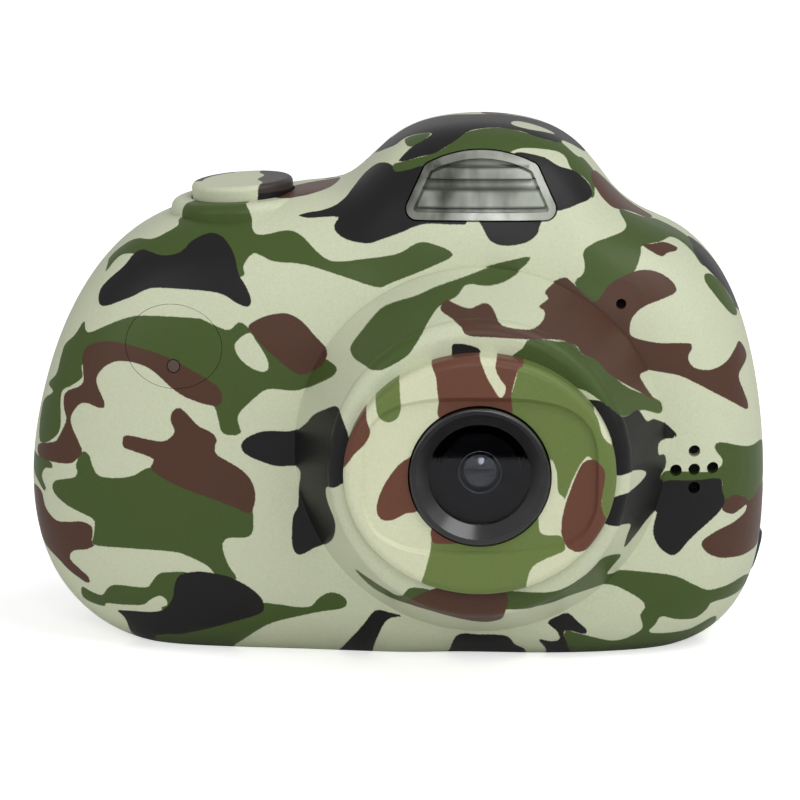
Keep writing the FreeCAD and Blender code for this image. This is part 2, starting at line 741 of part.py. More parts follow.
def usb_socket():
    """Steel-cased socket with its tongue."""
    back = PORT_FLOOR_X - USB_LONG
    steel = 0.4
    root = 1.0
    case = box((back, PORT_FLOOR_X), USB_Y, USB_Z)
    mouth_y = (USB_Y[0] + steel, USB_Y[1] - steel)
    mouth = box((back + root, PORT_FLOOR_X), mouth_y, (USB_Z[0] + steel, USB_Z[1] - steel))
    tongue_y = (mouth_y[0] + 0.5, mouth_y[0] + 1.0)
    tongue_z = (USB_Z[0] + 3 * steel, USB_Z[1] - 3 * steel)
    tongue = box((back + root - FIT, PORT_FLOOR_X - 0.6), tongue_y, tongue_z)
    return join([case.cut(mouth), tongue])


def card_socket():
    """Flat cage that the memory card slides in."""
    inner_x = CARD_END_X - CARD_LONG - CARD_PUSH - 0.3
    outer_x = PORT_FLOOR_X - 1.6
    gap = 0.1
    side = 1.0
    case_y = (BOARD_Y[1], CARD_Y[1] + 0.7)
    case = box((inner_x - side, outer_x), case_y, (CARD_Z[0] - side, CARD_Z[1] + side))
    slot_y = (CARD_Y[0] - gap, CARD_Y[1] + gap)
    slot = box((inner_x, PORT_FLOOR_X), slot_y, (CARD_Z[0] - gap, CARD_Z[1] + gap))
    return case.cut(slot)


def memory_card():
    """Small card with one clipped corner and a finger edge at its outer end."""
    inner_x = CARD_END_X - CARD_LONG
    notch_long, notch_deep = CARD_NOTCH
    card = box((inner_x, CARD_END_X), CARD_Y, CARD_Z)
    notch = box((inner_x, inner_x + notch_long), CARD_Y, (CARD_Z[1] - notch_deep, CARD_Z[1]))
    return card.cut(notch)


# ---- screen and rear camera --------------------------------------------------------------------------
def screen_window():
    y = (BACK_Y - WINDOW_THICK, BACK_Y)
    return rounded_block((LENS_X, SCREEN_Z), SCREEN_W, SCREEN_H, SCREEN_R - FIT / 2, y)


def lcd_panel():
    width, height = LCD_SIZE
    return block((LENS_X, SCREEN_Z), width, height, (LCD_FRAME_Y[0] + LCD_TRAY + 0.1, LCD_FRAME_Y[1]))


def lcd_frame():
    """Pressed metal tray round the back and sides of the panel."""
    width, height = LCD_SIZE
    room = 2 * 0.1
    side = 2 * 0.3
    tray = block((LENS_X, SCREEN_Z), width + room + side, height + room + side, LCD_FRAME_Y)
    well_y = (LCD_FRAME_Y[0] + LCD_TRAY, TAIL_Y)
    return tray.cut(block((LENS_X, SCREEN_Z), width + room, height + room, well_y))


def selfie_window():
    return rod((LENS_X, SELFIE_Z), SELFIE_R, (BACK_Y - WINDOW_THICK, BACK_Y))


def selfie_camera():
    """Small camera block with a round turret."""
    place = (LENS_X, SELFIE_Z)
    base = block(place, SELFIE_BLOCK, SELFIE_BLOCK, (BOARD_Y[1], SELFIE_STEP_Y))
    return join([base, rod(place, SELFIE_TURRET_R, (SELFIE_STEP_Y, SELFIE_FRONT_Y))])


# ---- rear keys ---------------------------------------------------------------------------------------
def sector(centre, inner, outer, middle, spread, y):
    """Ring sector about a centre, spread degrees each side of its middle direction."""
    def at(r, degrees):
        a = radians(degrees)
        return V(centre[0] + r * cos(a), 0, centre[1] + r * sin(a))
    a, b = middle - spread, middle + spread
    wire = Part.Wire([
        Part.Arc(at(outer, a), at(outer, middle), at(outer, b)).toShape(),
        Part.LineSegment(at(outer, b), at(inner, b)).toShape(),
        Part.Arc(at(inner, b), at(inner, middle), at(inner, a)).toShape(),
        Part.LineSegment(at(inner, a), at(outer, a)).toShape(),
    ])
    return prism(wire, y)


def small_key_place(name):
    return SMALL_KEYS[name], SMALL_KEY_Z


def pad_key_place(name):
    """Where a direction key presses its switch."""
    a = radians(PAD_KEYS[name])
    return PAD_X + KEY_SWITCH_R * cos(a), PAD_Z + KEY_SWITCH_R * sin(a)


def small_key_cap(name, grow, y):
    return rod(small_key_place(name), SMALL_KEY_R + grow, y)


def pad_key_cap(name, grow, y):
    """Direction key's outline, grown for the hole that it sits in."""
    spread = PAD_SPREAD + grow * 180 / pi / PAD_R
    solid = sector((PAD_X, PAD_Z), PAD_INNER_R - grow, PAD_R + grow, PAD_KEYS[name], spread, y)
    return solid.makeFillet(1.1 + grow, edges_along(solid, V(0, 1, 0)))


def soften_front(cap):
    """Rounds the outer edge of a key's cap."""
    top = [e for e in cap.Edges if e.BoundBox.YMin > TAIL_Y - 0.01]
    return cap.makeFillet(0.35, top)


def key_stem(place):
    return rod(place, 1.3, (KEY_STEM_Y, KEY_FLANGE_Y[0]))


def small_key(name):
    """Round key: cap, flange behind the wall, stem."""
    place = small_key_place(name)
    cap = soften_front(small_key_cap(name, 0.0, (KEY_FLANGE_Y[0], TAIL_Y)))
    return join([cap, rod(place, SMALL_KEY_R + 0.55, KEY_FLANGE_Y), key_stem(place)])


def pad_key(name):
    """Direction key: ring-sector cap, flange behind the wall, stem."""
    cap = soften_front(pad_key_cap(name, 0.0, (KEY_FLANGE_Y[0], TAIL_Y)))
    flange = sector((PAD_X, PAD_Z), PAD_R - 2.0, PAD_R + 1.0, PAD_KEYS[name], PAD_SPREAD - 6.0, KEY_FLANGE_Y)
    return join([cap, flange, key_stem(pad_key_place(name))])


def ok_key():
    cap = soften_front(rod((PAD_X, PAD_Z), OK_R, (KEY_FLANGE_Y[0], TAIL_Y)))
    return join([cap, rod((PAD_X, PAD_Z), OK_R + 0.6, KEY_FLANGE_Y), key_stem((PAD_X, PAD_Z))])


def key_plunger(place):
    return rod(place, KEY_PLUNGER_R, (KEY_STEM_Y - KEY_PLUNGER_LONG, KEY_STEM_Y))


def key_switch(place):
    """Square push switch with a hole for its plunger."""
    case = block(place, KEY_SWITCH_SIDE, KEY_SWITCH_SIDE, (BOARD_Y[1], KEY_SWITCH_TOP_Y))
    floor = KEY_STEM_Y - KEY_PLUNGER_LONG - KEY_TRAVEL - 0.1
    return case.cut(rod(place, KEY_PLUNGER_R + 0.1, (floor, KEY_SWITCH_TOP_Y)))


# ---- cover and fasteners -----------------------------------------------------------------------------
def port_cover():
    """Rubber flap that follows the side of the body, with a finger tab at its lower end."""
    flap = port_block(FIT, (PORT_FLOOR_X, WIDTH)).common(BODY).cut(body(COVER_THICK))
    tab = box((PORT_FLOOR_X, WIDTH), (12.6, 17.0), (PORT_Z[0] + FIT + 0.2, PORT_Z[0] + 5.6))
    tab = tab.makeFillet(1.2, edges_along(tab, V(1, 0, 0)))
    return flap.fuse(tab.common(body(-TAB_PROUD)).cut(body(0.4)))


def cover_tether():
    """End of the flap's tether, anchored in the wall above the recess."""
    return tether_block(0.1).common(BODY).cut(body(COVER_THICK))


def screw(place):
    """Pan-head screw with a cross recess."""
    head = (SCREW_SEAT_Y, SCREW_SEAT_Y + 1.5)
    solid = join([rod(place, SCREW_HEAD_R, head), rod(place, SCREW_R, (SCREW_TIP_Y, SCREW_SEAT_Y))])
    slot = (head[1] - 0.8, head[1])
    return solid.cut([block(place, 2.2, 0.5, slot), block(place, 0.5, 2.2, slot)])


# ---- all parts ---------------------------------------------------------------------------------------
def parts():
    """Every sub-part by name."""
    shapes = {}
    makers = (
        front_shell, rear_shell, lens_ring, lens_bezel, lens_window, lens_barrel, front_lens_element,
        lens_holder, image_sensor, sensor_board, sensor_flex, flash_lens, flash_reflector, flash_lamp,
        flash_board, indicator_disc, indicator_light_pipe, indicator_led, microphone, speaker,
        speaker_gasket, shutter_button, shutter_plunger, shutter_switch, shutter_board, main_board,
        battery, battery_pad, usb_socket, card_socket, memory_card, screen_window, lcd_panel, lcd_frame,
        lcd_flex, selfie_window, selfie_camera, port_cover, cover_tether,
    )
    for maker in makers:
        shapes[maker.__name__] = maker()
    key_places = {}
    for name in SMALL_KEYS:
        shapes[name + "_button"] = small_key(name)
        key_places[name] = small_key_place(name)
    for name in PAD_KEYS:
        shapes[name + "_button"] = pad_key(name)
        key_places[name] = pad_key_place(name)
    shapes["ok_button"] = ok_key()
    key_places["ok"] = (PAD_X, PAD_Z)
    for name, place in key_places.items():
        shapes[name + "_plunger"] = key_plunger(place)
    shapes["key_switches"] = Part.makeCompound([key_switch(place) for place in key_places.values()])
    shapes["screws"] = Part.makeCompound([screw(place) for place in SCREW_PLACES])
    return shapes


os.makedirs("parts", exist_ok=True)
for part_name, part_shape in parts().items():
    part_shape.exportStep("parts/" + part_name + ".step")
    print(part_name, len(part_shape.Solids), round(part_shape.Volume, 2), part_shape.isValid())
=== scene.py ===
"""Children's digital camera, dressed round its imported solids: printed camouflage, clear parts and keys."""

import json
import math

import bpy
import numpy as np
from bpy.props import FloatProperty, FloatVectorProperty, PointerProperty
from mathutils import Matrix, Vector

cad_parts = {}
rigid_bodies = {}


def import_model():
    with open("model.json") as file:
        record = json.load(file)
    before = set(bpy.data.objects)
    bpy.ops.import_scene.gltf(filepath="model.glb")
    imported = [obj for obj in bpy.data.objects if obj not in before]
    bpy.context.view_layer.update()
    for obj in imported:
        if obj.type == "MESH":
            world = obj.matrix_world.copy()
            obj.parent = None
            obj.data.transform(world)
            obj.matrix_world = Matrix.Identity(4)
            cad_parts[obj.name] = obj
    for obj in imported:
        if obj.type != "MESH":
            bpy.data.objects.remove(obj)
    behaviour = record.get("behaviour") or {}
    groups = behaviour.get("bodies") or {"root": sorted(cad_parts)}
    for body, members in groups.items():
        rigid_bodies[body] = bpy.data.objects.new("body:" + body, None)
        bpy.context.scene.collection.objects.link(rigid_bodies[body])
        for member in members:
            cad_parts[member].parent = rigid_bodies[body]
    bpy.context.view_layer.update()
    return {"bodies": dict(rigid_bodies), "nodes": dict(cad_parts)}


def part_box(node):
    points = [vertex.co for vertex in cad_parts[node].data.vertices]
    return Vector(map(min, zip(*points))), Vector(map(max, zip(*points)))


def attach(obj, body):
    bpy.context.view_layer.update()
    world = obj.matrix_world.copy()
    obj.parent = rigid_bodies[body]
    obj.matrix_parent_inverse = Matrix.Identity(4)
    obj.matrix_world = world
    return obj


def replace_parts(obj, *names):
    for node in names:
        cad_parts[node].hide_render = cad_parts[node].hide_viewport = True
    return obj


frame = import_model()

bl_info = {
    "name": "Camouflage Toy Camera",
    "version": (1, 0, 0),
    "blender": (4, 5, 0),
    "location": "View3D > Sidebar > Toy Camera",
    "description": "Dresses the packed solids of a children's digital camera",
    "category": "Object",
}

MM = 0.001

# Camouflage outlines, in millimetres on the unfolded front: x across, z up, the sides laid flat round it.
# Each is a closed smooth line through its corners. Later layers cover earlier ones.
GREEN = (
    ((-41.5, 52.5), (-39.3, 54.2), (-36.7, 54.7), (-33.2, 54.1), (-31.2, 54.9), (-29.9, 56.2),
     (-30.8, 57.6), (-30.4, 60), (-30, 66), (-20.6, 66), (-20.5, 60), (-19.4, 57.6), (-18, 54.4),
     (-14, 54.9), (-12, 54.2), (-10, 52.4), (-7.9, 51.3), (-3.6, 51.7), (.2, 52.4), (2.7, 53.8),
     (4.6, 53.7), (7.2, 52.4), (4.4, 50.8), (-.5, 48.8), (-2.4, 48.2), (-6.8, 49.5), (-11.5, 50.8),
     (-15.5, 51.1), (-18, 52), (-19.3, 50.5), (-19.6, 49.2), (-25, 50), (-33, 51.5), (-36.2, 52.1),
     (-38.2, 51.9), (-39.2, 50.8), (-39.8, 49.5), (-40.5, 50.8)),
    ((-41.5, 42.8), (-40.9, 41.6), (-39.8, 41.4), (-37.5, 42.3), (-34.3, 43.5), (-31.6, 43.9),
     (-25.4, 43.9), (-23.9, 43.5), (-22.2, 42.8), (-21, 42.6), (-19.7, 43.6), (-18, 42.5), (-13, 40),
     (-8.5, 39.4), (-7.3, 38.9), (-7.9, 37.9), (-9.5, 36.7), (-11.4, 35.4), (-13, 35), (-15.9, 35.2),
     (-17.3, 34.5), (-19.7, 32.2), (-20, 31), (-19.7, 29.4), (-21.9, 29.4), (-22.6, 31.6), (-23.2, 33),
     (-26, 36), (-33, 38.5), (-40.3, 37.5), (-40.6, 35.5), (-42.5, 34.2), (-44.3, 33), (-44.2, 28),
     (-49, 26), (-50, 31), (-46.5, 33), (-48.5, 34), (-46.2, 35.5), (-45.8, 37.8), (-45.3, 39.5),
     (-43.2, 40.8), (-42.5, 41.6)),
    ((.8, 69.5), (1, 70.4), (2.4, 70.5), (4.4, 69.7), (3.5, 68), (1.9, 66.9), (1.1, 67.7)),
    ((.5, 64.2), (2.2, 64.5), (4.2, 65), (6.4, 66.2), (9.4, 69.2), (14, 70.5), (17, 69.6), (20.5, 68.2),
     (22.9, 68.8), (23.9, 67.3), (24.9, 66.4), (26.3, 66.8), (28, 64), (26.8, 62.6), (26.2, 61.5),
     (25.4, 59.3), (24.9, 59.4), (25.3, 61), (24.3, 62.3), (22.6, 63.2), (22.3, 65), (21.6, 65.8),
     (20.3, 66), (17, 66), (15.3, 65.6), (12, 64), (4, 62.8), (1.5, 62.4), (-.4, 62.5), (-.6, 64)),
    ((29.8, 58.3), (30, 56), (29, 54.9), (26.8, 54.1), (25, 53.6), (23.6, 52.6), (23.8, 51), (23.5, 49.8),
     (22.5, 48.9), (23.6, 47), (25, 46), (28.6, 49), (30.1, 50), (31, 52), (31.4, 53), (33.2, 53.4),
     (34.8, 53.8), (37, 54.8), (38.5, 54.6), (39.8, 52.9), (40.4, 50.8), (41.5, 51), (41.5, 54), (44, 56),
     (41, 60), (36, 59.2), (31.5, 58.9)),
    ((40.3, 49.3), (40, 48.3), (40.9, 47), (42.5, 45.3), (44.2, 44.1), (46, 43.9), (47.5, 44.8), (46, 46.5),
     (44, 48.4), (42, 49.5)),
    ((17, 52.1), (14.5, 51.7), (12.8, 51.3), (9, 50.2), (6.9, 49.6), (4.8, 48.9), (2.7, 48), (-.4, 46.9),
     (-2.2, 45.8), (-4.4, 43.3), (-5.6, 41.6), (-5.2, 40.7), (-3.8, 40.3), (-2.4, 40.1), (-1, 40.4),
     (1.6, 42), (2.8, 43.6), (4.3, 45.9), (5.6, 47.3), (7.7, 48.3), (9, 49.4), (11.5, 49.3), (13.6, 49.6),
     (15.6, 50.5)),
    ((17.1, 44.2), (21.5, 43.4), (22.6, 42.8), (23.5, 41.8), (25.2, 41.2), (27.2, 38.9), (29.2, 36.9),
     (32.8, 34.4), (33.7, 33), (33.2, 32.5), (31, 33.8), (28.7, 34), (26.4, 35.8), (24.1, 37.5),
     (21.9, 38.3), (18, 40), (14.5, 41.5), (16, 43.1)),
    ((33.4, 24.3), (34.5, 24.9), (38.4, 24.5), (40.2, 24.5), (41.2, 25), (41.4, 25.8), (40.5, 27.2),
     (40.5, 27.9), (41.5, 28), (45.3, 26.8), (50, 26.5), (54, 24), (50, 20.5), (46.5, 19.3), (45, 20),
     (43.4, 20.9), (41.6, 20.3), (41, 21.5), (41, 23.2), (33.8, 23.3)),
    ((26.1, 15.8), (28.5, 15), (27.7, 13.7), (26.8, 12.4), (27.5, 11.9), (29.2, 12.1), (35.1, 11.2),
     (37.9, 9.7), (39.7, 8.7), (41.8, 8.7), (46, 8.8), (50, 6), (44, 6.5), (40.5, 6.7), (39.7, 5.7),
     (38.2, 4.7), (35.8, 4.9), (33.8, 5.5), (33.1, 4.4), (32.5, 3.1), (37.3, 2.8), (42, 3.5), (42, -6),
     (20, -6), (21.5, 3.6), (22.6, 3.7), (25.8, 2.6), (27.6, 2.1), (29.3, 2.4), (31.2, 3.6), (31.4, 4.6),
     (31.1, 5.9), (31.7, 7), (31.2, 8), (29.5, 9.2), (27.3, 10.2), (24.1, 10.3), (21.9, 10.2), (19.9, 9.7),
     (17.5, 9.6), (13, 9.9), (13, 12), (20, 12), (24, 14)),
    ((-5.1, 13.2), (-3.2, 12.4), (-1.1, 11.3), (.6, 10.7), (2.2, 12.5), (6, 11.5), (5, 9), (2.4, 9.2),
     (.5, 9.4), (-1.1, 9.8), (-3.2, 10.9)),
    ((-40.3, 26), (-39.3, 25.7), (-38.9, 24.6), (-38.2, 23.3), (-37, 23), (-35, 23.1), (-33.2, 23.6),
     (-31.8, 24.5), (-30, 24.6), (-24, 23), (-18.8, 20.6), (-18.1, 17.4), (-18.8, 16.1), (-21.2, 15.9),
     (-22, 15.2), (-22, 14.3), (-21.3, 12.3), (-20.3, 10.5), (-22.5, 10.5), (-24, 12.1), (-26.5, 13.3),
     (-28.5, 13.8), (-34.1, 13.9), (-38.8, 13.9), (-38.8, 15), (-38.6, 16.4), (-38.9, 17.4), (-41.6, 18.3),
     (-43, 18.8), (-44.7, 19.7), (-45.3, 20.6), (-44.8, 21.5), (-43.3, 22), (-41.3, 22.6), (-41, 23.4),
     (-41.2, 24.2)),
    ((-49.5, 24), (-46, 24), (-45.2, 23.1), (-46.9, 22.8), (-47.8, 21.5), (-46.6, 20), (-47.2, 19.6),
     (-49, 20.5), (-53, 22), (-53, 24)),
    ((-41.5, 7.2), (-40.2, 6.9), (-38.3, 6.7), (-37.2, 8), (-35.9, 8.7), (-32.1, 8.7), (-31.3, 9.4),
     (-30.4, 10.6), (-29.2, 11), (-26, 10.9), (-24, 8), (-27, 3), (-30, 5.7), (-29.3, 6.4), (-29.4, 7.2),
     (-30.3, 7.7), (-31.5, 7), (-32.5, 6.2), (-35.3, 5.8), (-37.8, 5.5), (-38.5, 4.8), (-42, 5)),
    ((-18, 7), (-15.2, 7.2), (-13, 6.9), (-10.9, 7), (-9.8, 8.2), (-8.3, 9), (-6.8, 8.6), (-6.2, 7.6),
     (-6.9, 6.8), (-9.6, 6.3), (-13, 5.4), (-15.7, 4.5), (-17.4, 3.5), (-19.6, 1.6), (-21.5, -.5),
     (-23, -4), (-33, -4), (-31.5, 1.5), (-27, 2.8), (-24, 3.4)),
)
BROWN = (
    ((-18.6, 43.2), (-16.8, 44.3), (-14.6, 44.8), (-13.1, 44.6), (-11.6, 43.6), (-10.2, 42), (-8.8, 40.5),
     (-8.7, 39.6), (-9.6, 38.3), (-11.4, 37.1), (-12.6, 37.2), (-14.3, 38.4), (-16.8, 40.6), (-18.2, 42.3)),
    ((-40.9, 38.3), (-40.2, 39.5), (-38.7, 40.1), (-36.2, 40.4), (-33.4, 40), (-29.1, 38.9), (-25.4, 37.1),
     (-22.6, 35.4), (-22, 34), (-22.5, 32.9), (-25.1, 33.3), (-27.8, 34.5), (-30.7, 36.9), (-32.4, 37.7),
     (-34.2, 38), (-36, 37.8), (-37.6, 36.8), (-38.4, 35.2), (-37.2, 32.6), (-37.6, 31.8), (-40, 32.3),
     (-41.3, 31.6), (-42.2, 29.8), (-40.8, 27.2), (-40.3, 26), (-41.3, 24.7), (-43, 24.1), (-49, 24),
     (-49.5, 25.5), (-45.2, 26.6), (-44.2, 27.4), (-43, 29.8), (-43.6, 31.5), (-43.4, 33.3), (-40.6, 34.6),
     (-40.6, 36.5)),
    ((25.8, 62.2), (26.4, 60.6), (27, 59.6), (28.3, 58.6), (29.7, 58.5), (31.5, 59), (34, 59.4), (38, 59.6),
     (41, 62), (36, 66), (30, 66), (27, 64.5)),
    ((31.4, 53.2), (33, 53.3), (35, 53.7), (36.5, 53.3), (37.1, 52.8), (36, 52.3), (34.9, 52.1),
     (33.9, 51.6), (32.5, 52.3)),
    ((5.7, 47), (6.4, 47.9), (7.7, 47.6), (9.4, 47.3), (11.3, 47.8), (12.3, 47.2), (13.1, 46), (14.5, 45.5),
     (17.2, 45.2), (18.5, 45.8), (18.7, 46.6), (18, 47.1), (19.2, 47.7), (18.8, 48.4), (21.1, 49.5),
     (22.2, 48.9), (25, 46.4), (26.8, 48.4), (29, 49.6), (31.1, 50.1), (32.9, 49.8), (34.5, 48.9),
     (35.4, 47.8), (35, 47), (31.5, 45.8), (30, 44.6), (29.5, 43.2), (29.9, 42), (32.9, 41.2), (37, 40.9),
     (37.4, 40.2), (36.9, 39.2), (37.5, 38), (38.6, 37.5), (40.2, 37.4), (42, 38.1), (43.7, 39.5),
     (45.2, 40.4), (47, 38.5), (44.1, 36.3), (44.7, 34.2), (45.6, 32.3), (45, 31.6), (41, 34), (38.4, 35.6),
     (35.9, 36.9), (33.3, 37.5), (30.9, 37.8), (31.2, 36.7), (32.6, 34.3), (30.7, 35.9), (27.2, 38.7),
     (25, 41), (23.3, 41.9), (22.6, 42.8), (19.9, 43.9), (17, 44.1), (12.2, 44.4), (9.2, 44.6), (8.3, 45.6),
     (7.4, 46.2)),
    ((38.8, 15), (39.3, 15.8), (41, 16.7), (43, 17.4), (44.7, 18.3), (45, 19.2), (44, 18.9), (42.8, 18.5),
     (41.5, 19.2), (41.6, 20.3), (43, 21), (44.4, 20.5), (46, 19.6), (49, 20.5), (54, 19), (54, 12),
     (46, 12.3), (42.5, 12.7), (41, 13), (39.6, 13.8)),
    ((1.5, 9.5), (4.5, 8.7), (7, 7.9), (9.6, 7), (11.6, 6.7), (13.3, 7.3), (13.8, 8.8), (13.9, 12), (8, 13),
     (3, 11.5)),
    ((-27.6, 32.5), (-26.7, 32), (-25.8, 31), (-24.9, 30.2), (-23.4, 29.5), (-22.7, 28.6), (-23, 27.4),
     (-22.5, 26.5), (-20.7, 25.5), (-19.1, 24.4), (-18.1, 22.9), (-17.8, 21.3), (-18.1, 19.8),
     (-18.6, 19.1), (-20.3, 19.8), (-23, 20.8), (-25.8, 21.7), (-28.1, 22.6), (-30, 23.6), (-31.2, 24.6),
     (-30.9, 25.8), (-33.6, 26.7), (-34.7, 27.1), (-34.7, 28.4), (-33.6, 28.6), (-30.1, 28.1),
     (-28.8, 28.5), (-28.1, 29.5), (-28.6, 30.8), (-28.4, 31.9)),
    ((-48.2, 19.5), (-47, 17.4), (-44.8, 16.2), (-42.7, 16.4), (-40.5, 16.8), (-39.1, 16.4), (-38.9, 15.4),
     (-39.1, 14.1), (-38.7, 13.8), (-39.9, 13.1), (-42, 12.5), (-42.8, 11.2), (-41.7, 10.3), (-40.1, 9.2),
     (-39.8, 8.5), (-40.5, 8.1), (-41.8, 8.6), (-43.6, 9.3), (-45.9, 10.5), (-50, 11.5), (-54, 14),
     (-52, 19)),
    ((-17.5, 61.2), (-14.5, 61.3), (-12.5, 62.5), (-11, 66), (-12, 72), (-17, 72), (-20, 66)),
)
BLACK = (
    ((-24.3, 54.6), (-22.5, 54.1), (-21.2, 52.8), (-20.4, 51.4), (-19.9, 49.5), (-18.9, 47.9),
     (-18.3, 46.3), (-18.8, 45.5), (-20.3, 46), (-21.8, 46.9), (-24.3, 47.3), (-30.1, 47.4), (-32, 47.1),
     (-34.3, 46), (-38.3, 44.8), (-39.6, 46), (-39.3, 47.7), (-36.3, 50.2), (-35.2, 51.9), (-33.8, 52.5),
     (-30.6, 51.6), (-28.6, 51.7), (-27.4, 52.3), (-26.4, 53.6)),
    ((-12.8, 57), (-11.5, 57.5), (-9.9, 57.8), (-8.2, 58.7), (-7, 60.3), (-6.2, 62.5), (-5, 65.3),
     (-3.2, 66), (-.9, 64.2), (-.3, 62.8), (1.4, 62.8), (4, 63.3), (10, 62), (9, 56.6), (7.7, 56.1),
     (3.5, 56.1), (.4, 54.9), (-2, 54), (-3.4, 53.5), (-5, 53.6), (-6.6, 54), (-7.7, 54.8), (-7.9, 55.7),
     (-7.5, 56.7), (-9.5, 56.7), (-11.4, 56.6)),
    ((10.6, 57.5), (10.9, 55.8), (11.9, 54.1), (13.6, 53.5), (16.1, 53.8), (17.5, 54.6), (18, 55.6),
     (17.8, 57.5)),
    ((15, 65), (18.3, 64.8), (19.4, 64.4), (20.9, 63.4), (23, 63), (24.3, 62.2), (25.2, 61.1), (25.3, 60),
     (24.6, 59), (23.1, 58.4), (20.6, 57.7), (17, 58), (15, 61)),
    ((-1.2, 69.5), (.8, 70.7), (2.6, 70.6), (4.6, 69.6), (3.4, 68), (1.8, 66.8), (.2, 64.6), (.6, 64.2),
     (3.9, 64.9), (5, 65.2), (6.4, 66.2), (8, 67.6), (9.4, 69.2), (11, 70), (14, 70.5), (17, 69.7),
     (18.6, 68.8), (20.5, 68.2), (22.6, 68.5), (24.5, 70), (29.5, 71.5), (31, 76), (18, 81), (12, 82),
     (4, 81), (-2, 79), (-4.5, 74.5)),
    ((41.5, 54), (40.5, 52.6), (40.8, 51), (42.2, 49.7), (44.5, 48), (46.5, 46.3), (48, 45), (53, 46),
     (50, 54), (45, 57)),
    ((22.5, 36.2), (25.1, 36.5), (26.4, 35.9), (28.7, 34), (30.5, 34), (31.6, 32.3), (32.8, 32),
     (35.5, 29.6), (34.8, 29), (33.3, 29), (33.2, 27.5), (34, 27.1), (34.2, 25.6), (33.4, 24.3),
     (33.9, 23.3), (33.3, 20.3), (31.8, 19), (30.2, 17.2), (28.9, 16), (29.2, 17.9), (29.6, 19.5),
     (28.2, 20.2), (26.2, 20.9), (25, 23), (27.9, 24.3), (30, 24.7), (31.4, 25.5), (31.3, 26.3),
     (29.7, 27.1), (27.5, 27), (25.5, 29), (24, 33)),
    ((33.9, 23.5), (37.5, 23.5), (41.1, 23.4), (41.4, 21.9), (41.8, 20.4), (41, 19), (39, 17.3),
     (37.2, 15.7), (35.9, 14.2), (34.8, 13.9), (33.3, 15.2), (32.6, 17.1), (33, 19.1), (33.5, 21.2)),
    ((-7.2, 35), (-6.4, 33.8), (-5.5, 31), (-5.5, 27), (-7, 25.4), (-8.4, 24.8), (-8.6, 23.7), (-8.2, 22.2),
     (-7.5, 20.4), (-7.5, 18.6), (-8, 16.8), (-9, 15.4), (-10.2, 14.9), (-12.1, 13.9), (-13, 14.6),
     (-13.2, 16.5), (-13, 19), (-12.4, 20.2), (-12.3, 22.6), (-12.2, 25.2), (-15, 25.3), (-16.8, 25.8),
     (-18.9, 26.7), (-19.6, 27.8), (-18.9, 28.9), (-16.6, 29.8), (-13, 29.9), (-11.4, 31.3), (-10.3, 32.8),
     (-9, 33.9)),
    ((-28.3, 9.1), (-27.9, 10.3), (-27.2, 10.9), (-25.3, 11.3), (-23.5, 11.2), (-21.4, 10.8), (-19.8, 10.1),
     (-18.2, 9.1), (-17.1, 7.9), (-16.8, 6.8), (-17.3, 5.8), (-20.3, 4.6), (-24.2, 3.2), (-26, 2.6),
     (-28, 1.9), (-30, 1.6), (-32, .4), (-33.5, -4), (-36.5, -4), (-35.3, 2.8), (-36.3, 4.5), (-35.3, 4.9),
     (-33.2, 5.1), (-31.1, 5.3), (-29.6, 5.9), (-28.6, 7.4)),
    ((-2.2, 6.8), (-.6, 6.4), (1, 6), (-.8, 5.6), (-1.8, 4.2), (-3, .6), (-3.5, -4), (-9, -4), (-7, .6),
     (-4.1, 4.7), (-3.1, 6.2)),
    ((7.9, 3.4), (10.5, 3.5), (14, 3.3), (15.2, 1.8), (16.5, .5), (16.5, -4), (6, -4), (6.8, .6)),
    ((19.3, 5.2), (20.6, 6.1), (21.9, 6.5), (23.1, 5.3), (24.3, 4), (24, 3.3), (22.9, 3.7), (21.6, 4),
     (21.4, 3.2), (21.9, 1.5), (23, -4), (19, -4), (19.2, .5), (18.2, 2.6), (19.7, 2.3), (20.8, 2.6),
     (20.5, 3.9)),
    ((7.2, 42.6), (7.3, 43.5), (8.9, 43.5), (10.7, 42.8), (10.4, 41.2), (7.4, 41.2)),
)
CREAM = (
    ((-18.5, 42.3), (-19.9, 41.4), (-20.4, 40.5), (-19.8, 39.1), (-18.4, 37.9), (-17.1, 37.4),
     (-16.3, 37.5), (-16.1, 38.4), (-16.7, 39.8), (-17.7, 41.3)),
    ((23, 69), (24.3, 70), (26.5, 67.8), (24.8, 66.5), (23.9, 67.2)),
    ((16.4, 72.2), (16.6, 73.6), (18, 75), (20, 74.6), (22.4, 73), (23, 71.6), (19.5, 70.9), (17.4, 71.3)),
)
# The lens ring carries a larger print of its own: olive for green, reddish brown for brown.
RING_GREEN = (
    ((-2.1, 38), (-1.1, 39.3), (.5, 40.1), (.8, 37.9), (.9, 36), (.4, 34.7), (-.7, 34.2), (-1.8, 34.9),
     (-2.2, 36.6)),
    ((-7, 27.2), (-6.4, 26.8), (-6.2, 25.8), (-6.6, 25.2), (-7.3, 26)),
    ((-6, 22.8), (-5.4, 22), (-5, 20.6), (-5.6, 21)),
    ((13.4, 33), (13.9, 36), (14.9, 39), (15.3, 41), (15.2, 45), (24, 42), (28.5, 36), (28.5, 20.5),
     (26.6, 21.6), (25.8, 23.4), (25.8, 26), (24.5, 29.8), (23.4, 29.3), (22.2, 27), (21.2, 24.5),
     (20.4, 25.6), (20.2, 28), (19.2, 29.8), (17.5, 33)),
    ((5, 19.5), (4.6, 18), (4, 15.7), (3.4, 13.5), (3.4, 11), (16.2, 11), (16.5, 13.5), (16.9, 15.3),
     (17.7, 16.4), (19.4, 17.3), (21.3, 18.2), (20.9, 19.8), (19.5, 20), (18.2, 20.6), (17.6, 22.5),
     (14, 19.5), (8, 19)),
)
